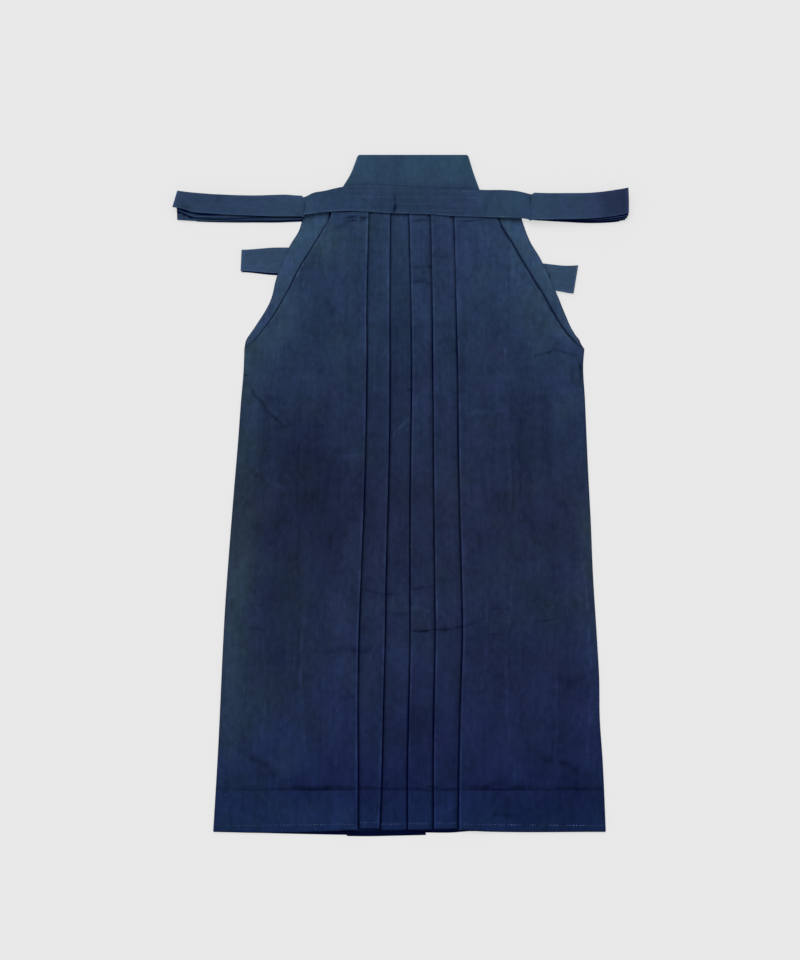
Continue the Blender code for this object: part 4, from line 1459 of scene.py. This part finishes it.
def slubWeaveGroup():  # uneven hand-dyed yarn in a plain weave; the UV map runs in metres, V along the warp
    tree, given, made = newGroup(
        "slubWeave",
        (("UV", "Vector", None), ("Slub", "Float", 0.3), ("Lint", "Float", 1.0), ("Pitch", "Float", 0.9)),
        (("Tint", "Float"), ("Height", "Float"), ("Roughness", "Float")),
    )
    uv = given["UV"]
    total = 0.0
    for across, down, detail, share in slubs:
        fac = noiseNode(tree, vectorNode(tree, "MULTIPLY", uv, (across, down, 0)), 1.0, detail, 0.55)
        total = mathNode(tree, "MULTIPLY_ADD", mathNode(tree, "SUBTRACT", fac, 0.5), share, total)
    tint = mathNode(tree, "MULTIPLY_ADD", total, given["Slub"], 1.0)
    for across, down, size, chosen, paler in lint:
        cells = addNode(tree, "ShaderNodeTexVoronoi", voronoi_dimensions="2D")
        feedNamed(tree, cells, {"Vector": vectorNode(tree, "MULTIPLY", uv, (across, down, 0)), "Scale": 1.0})
        pick = splitNode(tree, cells.outputs["Color"])
        speck = mathNode(tree, "MULTIPLY_ADD", cells.outputs["Distance"], -1 / (0.4 * size), 2.5, clamp=True)
        strength = mathNode(tree, "MULTIPLY_ADD", pick["Y"], paler, 0.2 * paler)
        speck = mathNode(tree, "MULTIPLY", speck, mathNode(tree, "GREATER_THAN", pick["X"], 1 - chosen))
        speck = mathNode(tree, "MULTIPLY", speck, strength)
        tint = mathNode(tree, "MULTIPLY_ADD", speck, given["Lint"], tint)
    place = splitNode(tree, uv)
    rate = mathNode(tree, "DIVIDE", 2 * math.pi * 1000, given["Pitch"])
    warp, weft = (mathNode(tree, "SINE", mathNode(tree, "MULTIPLY", place[axis], rate)) for axis in "XY")
    height = mathNode(tree, "MULTIPLY_ADD", mathNode(tree, "MULTIPLY", warp, weft), weaveForm["relief"], 0.5)
    height = mathNode(tree, "ADD", height, mathNode(tree, "MULTIPLY", total, weaveForm["slubRelief"]))
    rough = mathNode(tree, "MULTIPLY_ADD", total, weaveForm["slubRough"], weaveForm["rough"])
    feedNamed(tree, made, {"Tint": tint, "Height": height, "Roughness": rough})
    return tree


dyeAndShadeForm = {
    "patches": (17.0, 4.0, 0.6),
    "spread": (6.0, -3.0),
    "greener": (0.98, 1.06, 0.70),
    "redder": (1.22, 0.95, 1.10),
    "deepest": (-0.03, 0.01, 0.3),  # what is left of red, green and blue in the darkest painted shade of the folds
    "least": 0.03,
}


def shadedDyeGroup():  # the dye: patches of greener and redder blue, darker where painted shade lies in creases and folds, paler along pale marks
    tree, given, made = newGroup(
        "shadedDye",
        (
            ("Position", "Vector", None),
            ("Colour", "Color", None),
            ("Mottle", "Float", 0.2),
            ("Hue", "Float", 0.0),
            ("Tint", "Float", 1.0),
            ("ShadeAndMarks", "Float", 0.0),
        ),
        (("Colour", "Color"),),
    )
    patch = noiseNode(tree, given["Position"], *dyeAndShadeForm["patches"])
    cast = mathNode(tree, "MULTIPLY_ADD", patch, *dyeAndShadeForm["spread"])
    cast = mathNode(tree, "ADD", mathNode(tree, "MULTIPLY", cast, given["Mottle"]), given["Hue"])
    colour = given["Colour"]
    for sign, castColour in ((1, dyeAndShadeForm["greener"]), (-1, dyeAndShadeForm["redder"])):
        mix = addNode(tree, "ShaderNodeMix", data_type="VECTOR")
        tree.links.new(mathNode(tree, "MULTIPLY", cast, sign, clamp=True), mix.inputs["Factor"])
        feed(tree, mix.inputs[4:6], ((1, 1, 1), castColour))
        colour = vectorNode(tree, "MULTIPLY", colour, mix.outputs[1])
    # below zero the colour darkens into painted shade, toward navy; above zero it grows paler
    sunk = mathNode(tree, "MAXIMUM", mathNode(tree, "ADD", given["ShadeAndMarks"], 1.0), dyeAndShadeForm["least"])
    shade = mathNode(tree, "MINIMUM", sunk, 1.0)
    deep = mathNode(tree, "POWER", mathNode(tree, "SUBTRACT", 1.0, shade), 3.0)
    navy = vectorNode(tree, "MULTIPLY_ADD", deep, dyeAndShadeForm["deepest"], shade)
    strength = mathNode(tree, "MULTIPLY", mathNode(tree, "MAXIMUM", sunk, 1.0), given["Tint"])
    colour = vectorNode(tree, "SCALE", vectorNode(tree, "MULTIPLY", colour, navy), None, None, strength)
    feedNamed(tree, made, {"Colour": colour})
    return tree


slubWeave, shadedDye = slubWeaveGroup(), shadedDyeGroup()


def clothFinish(name, look):
    made, tree, shader = newFinish(name)
    place = addNode(tree, "ShaderNodeTexCoord").outputs["Object"]
    # painted shade and pale marks, as the points carry them
    shadeAndMarks = addNode(tree, "ShaderNodeAttribute", attribute_name="dyeAndShade").outputs["Fac"]
    hue = addNode(tree, "ShaderNodeAttribute", attribute_name="hue").outputs["Fac"]
    weave = addNode(tree, "ShaderNodeGroup", node_tree=slubWeave)
    uv = addNode(tree, "ShaderNodeUVMap", uv_map="weave").outputs["UV"]
    feedNamed(tree, weave, {"UV": uv, "Slub": look["slub"], "Lint": look["lint"], "Pitch": look["pitch"]})
    low, high = look["tones"][0][0], look["tones"][-1][0]
    rate, start = 1000 / (high - low), -(low + rowY * 1000) / (high - low)
    share = mathNode(tree, "MULTIPLY_ADD", splitNode(tree, place)["Y"], rate, start, clamp=True)
    ramp = addNode(tree, "ShaderNodeValToRGB")
    stops = ramp.color_ramp.elements
    while len(stops) < len(look["tones"]):
        stops.new(0.5)
    for stop, (y, colour) in zip(stops, look["tones"]):
        stop.position = (y - low) / (high - low)
        stop.color = linear(*colour)
    tree.links.new(share, ramp.inputs["Fac"])
    dyeAndShade = addNode(tree, "ShaderNodeGroup", node_tree=shadedDye)
    feedNamed(tree, dyeAndShade, {"Position": place, "Colour": ramp.outputs["Color"], "Mottle": look["mottle"]})
    feedNamed(tree, dyeAndShade, {"Hue": hue, "Tint": weave.outputs["Tint"], "ShadeAndMarks": shadeAndMarks})
    feedNamed(tree, shader, {
        "Base Color": dyeAndShade.outputs["Colour"],
        "Roughness": weave.outputs["Roughness"],
        "Normal": bumpNode(tree, weave.outputs["Height"], look["relief"], look["depth"]),
        "Specular IOR Level": look["gloss"],
        "Specular Tint": linear(*look["glossTint"]),
        "Sheen Weight": look["sheen"],
        "Sheen Roughness": 0.5,
        "Sheen Tint": linear(*look["sheenTint"]),
    })
    return made


bodyLook = {
    "tones": (  # y from the hem, and the colour there; lighter toward the waist, partly the dye and partly painted light on the better lit top
        (0, (21, 35, 70)),
        (45, (21, 32, 67)),
        (120, (26, 36, 68)),
        (320, (31, 41, 67)),
        (480, (31, 39, 64)),
        (560, (31, 42, 67)),
        (640, (34, 46, 73)),
        (760, (37, 52, 79)),
        (900, (39, 56, 84)),
        (1000, (41, 59, 86)),
    ),
    "slub": 0.66,
    "lint": 1.0,
    "pitch": 0.95,
    "mottle": 0.36,
    "relief": 0.5,
    "depth": 0.2,
    "gloss": 0.04,
    "glossTint": (120, 160, 255),
    "sheen": 0.02,
    "sheenTint": (100, 130, 190),
}
waistLook = dict(bodyLook, slub=0.45, lint=0.3, mottle=0.25)
# the waist grows lighter toward the top of the board, partly the dye and partly painted light
waistLook["tones"] = ((900, (39, 58, 84)), (985, (40, 59, 85)), (1000, (44, 66, 90)), (1050, (44, 68, 91)))
strapLook = dict(bodyLook, slub=0.4, lint=0.4, mottle=0.25)
# the straps are lighter where the back straps show low down, partly the dye and partly painted light where
# they are more lit
strapLook["tones"] = ((800, (51, 71, 97)), (900, (49, 69, 94)), (930, (43, 62, 88)), (1000, (45, 64, 90)))
threadLook = {
    "low": (40, 53, 84),
    "high": (128, 144, 172),
    "patches": (55.0, 2.0, 0.6),
    "spread": (3.2, -1.25),
    "twist": (3000.0, 1.0, 0.5),
    "relief": 0.4,
    "depth": 0.1,
    "rough": 0.7,
    "gloss": 0.1,
}
waistThreadLook = dict(threadLook, low=(60, 78, 110), high=(176, 190, 212))


def threadFinish(name, look):
    made, tree, shader = newFinish(name)
    place = addNode(tree, "ShaderNodeTexCoord").outputs["Object"]
    patch = noiseNode(tree, place, *look["patches"])
    mix = addNode(tree, "ShaderNodeMix", data_type="RGBA")
    tree.links.new(mathNode(tree, "MULTIPLY_ADD", patch, *look["spread"], clamp=True), mix.inputs["Factor"])
    feed(tree, mix.inputs[6:8], (linear(*look["low"]), linear(*look["high"])))
    twist = noiseNode(tree, place, *look["twist"])
    feedNamed(tree, shader, {
        "Base Color": mix.outputs[2],
        "Normal": bumpNode(tree, twist, look["relief"], look["depth"]),
        "Roughness": look["rough"],
        "Specular IOR Level": look["gloss"],
    })
    return made


sewingThread = threadFinish("sewingThread", threadLook)
waistThread = threadFinish("waistThread", waistThreadLook)
waistCloth = clothFinish("waistCloth", waistLook)
finishes = {  # for each word in a node's name
    "leg": (clothFinish("bodyCloth", bodyLook), "body_cloth"),
    "strap": (clothFinish("strapCloth", strapLook), "strap_cloth"),
    "band": (waistCloth, "waist_cloth"),
    "board": (waistCloth, "waist_cloth"),
}
for name, piece in pieces.items():
    finish, slot = finishes[name.split("_")[1]]
    piece.data.materials.append(finish)
    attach(piece, "root")
    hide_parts(name)
for piece in trim:
    piece.data.materials.append(waistThread if piece.name == "bandStitches" else sewingThread)
    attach(piece, "root")

print("finishes on")

# The floor, the light and the camera.
studio = {
    "floor": (133, 133, 133),
    "floorGlow": 0.565,  # the floor is lit from below as well, like a light table
    "sky": 0.72,
    "key": 1.135,
    "keySoft": 50,  # degrees
    "keyFrom": (-0.25, 0.6, 1.3),
}
bpy.ops.mesh.primitive_plane_add(size=12, location=(0, 0, 0))
floor = bpy.context.object
floor.name = "floor"
floorFinish, tree, shader = newFinish("paleFloor")
feedNamed(tree, shader, {
    "Base Color": linear(*studio["floor"]),
    "Roughness": 1.0,
    "Specular IOR Level": 0.0,
    "Emission Color": (1, 1, 1, 1),
    "Emission Strength": studio["floorGlow"],
})
floor.data.materials.append(floorFinish)
floor.select_set(False)

world = bpy.data.worlds.new("softStudio")
bpy.context.scene.world = world
world.use_nodes = True
background = world.node_tree.nodes["Background"]
feedNamed(world.node_tree, background, {"Color": (1, 1, 1, 1), "Strength": studio["sky"]})

key = bpy.data.lights.new("key", "SUN")
key.energy = studio["key"]
key.angle = math.radians(studio["keySoft"])
keyObject = bpy.data.objects.new("key", key)
bpy.context.scene.collection.objects.link(keyObject)
keyObject.rotation_mode = "QUATERNION"
keyObject.rotation_quaternion = Vector(studio["keyFrom"]).to_track_quat("Z", "Y")

view = {"from": (-14.1, -55.9, 2125), "to": (-14.1, 513.5, 0), "lens": 55.01, "sensor": 36}
lens = bpy.data.cameras.new("camera")
lens.lens = view["lens"]
lens.sensor_fit = "VERTICAL"
lens.sensor_height = view["sensor"]
camera = bpy.data.objects.new("camera", lens)
bpy.context.scene.collection.objects.link(camera)
eye, target = Vector(view["from"]) * mm, Vector(view["to"]) * mm
camera.location = eye + Vector((rowX, rowY, 0))
camera.rotation_mode = "QUATERNION"
camera.rotation_quaternion = (target - eye).to_track_quat("-Z", "Y")
bpy.context.scene.camera = camera
bpy.context.scene.view_settings.view_transform = "Standard"
print("staged")
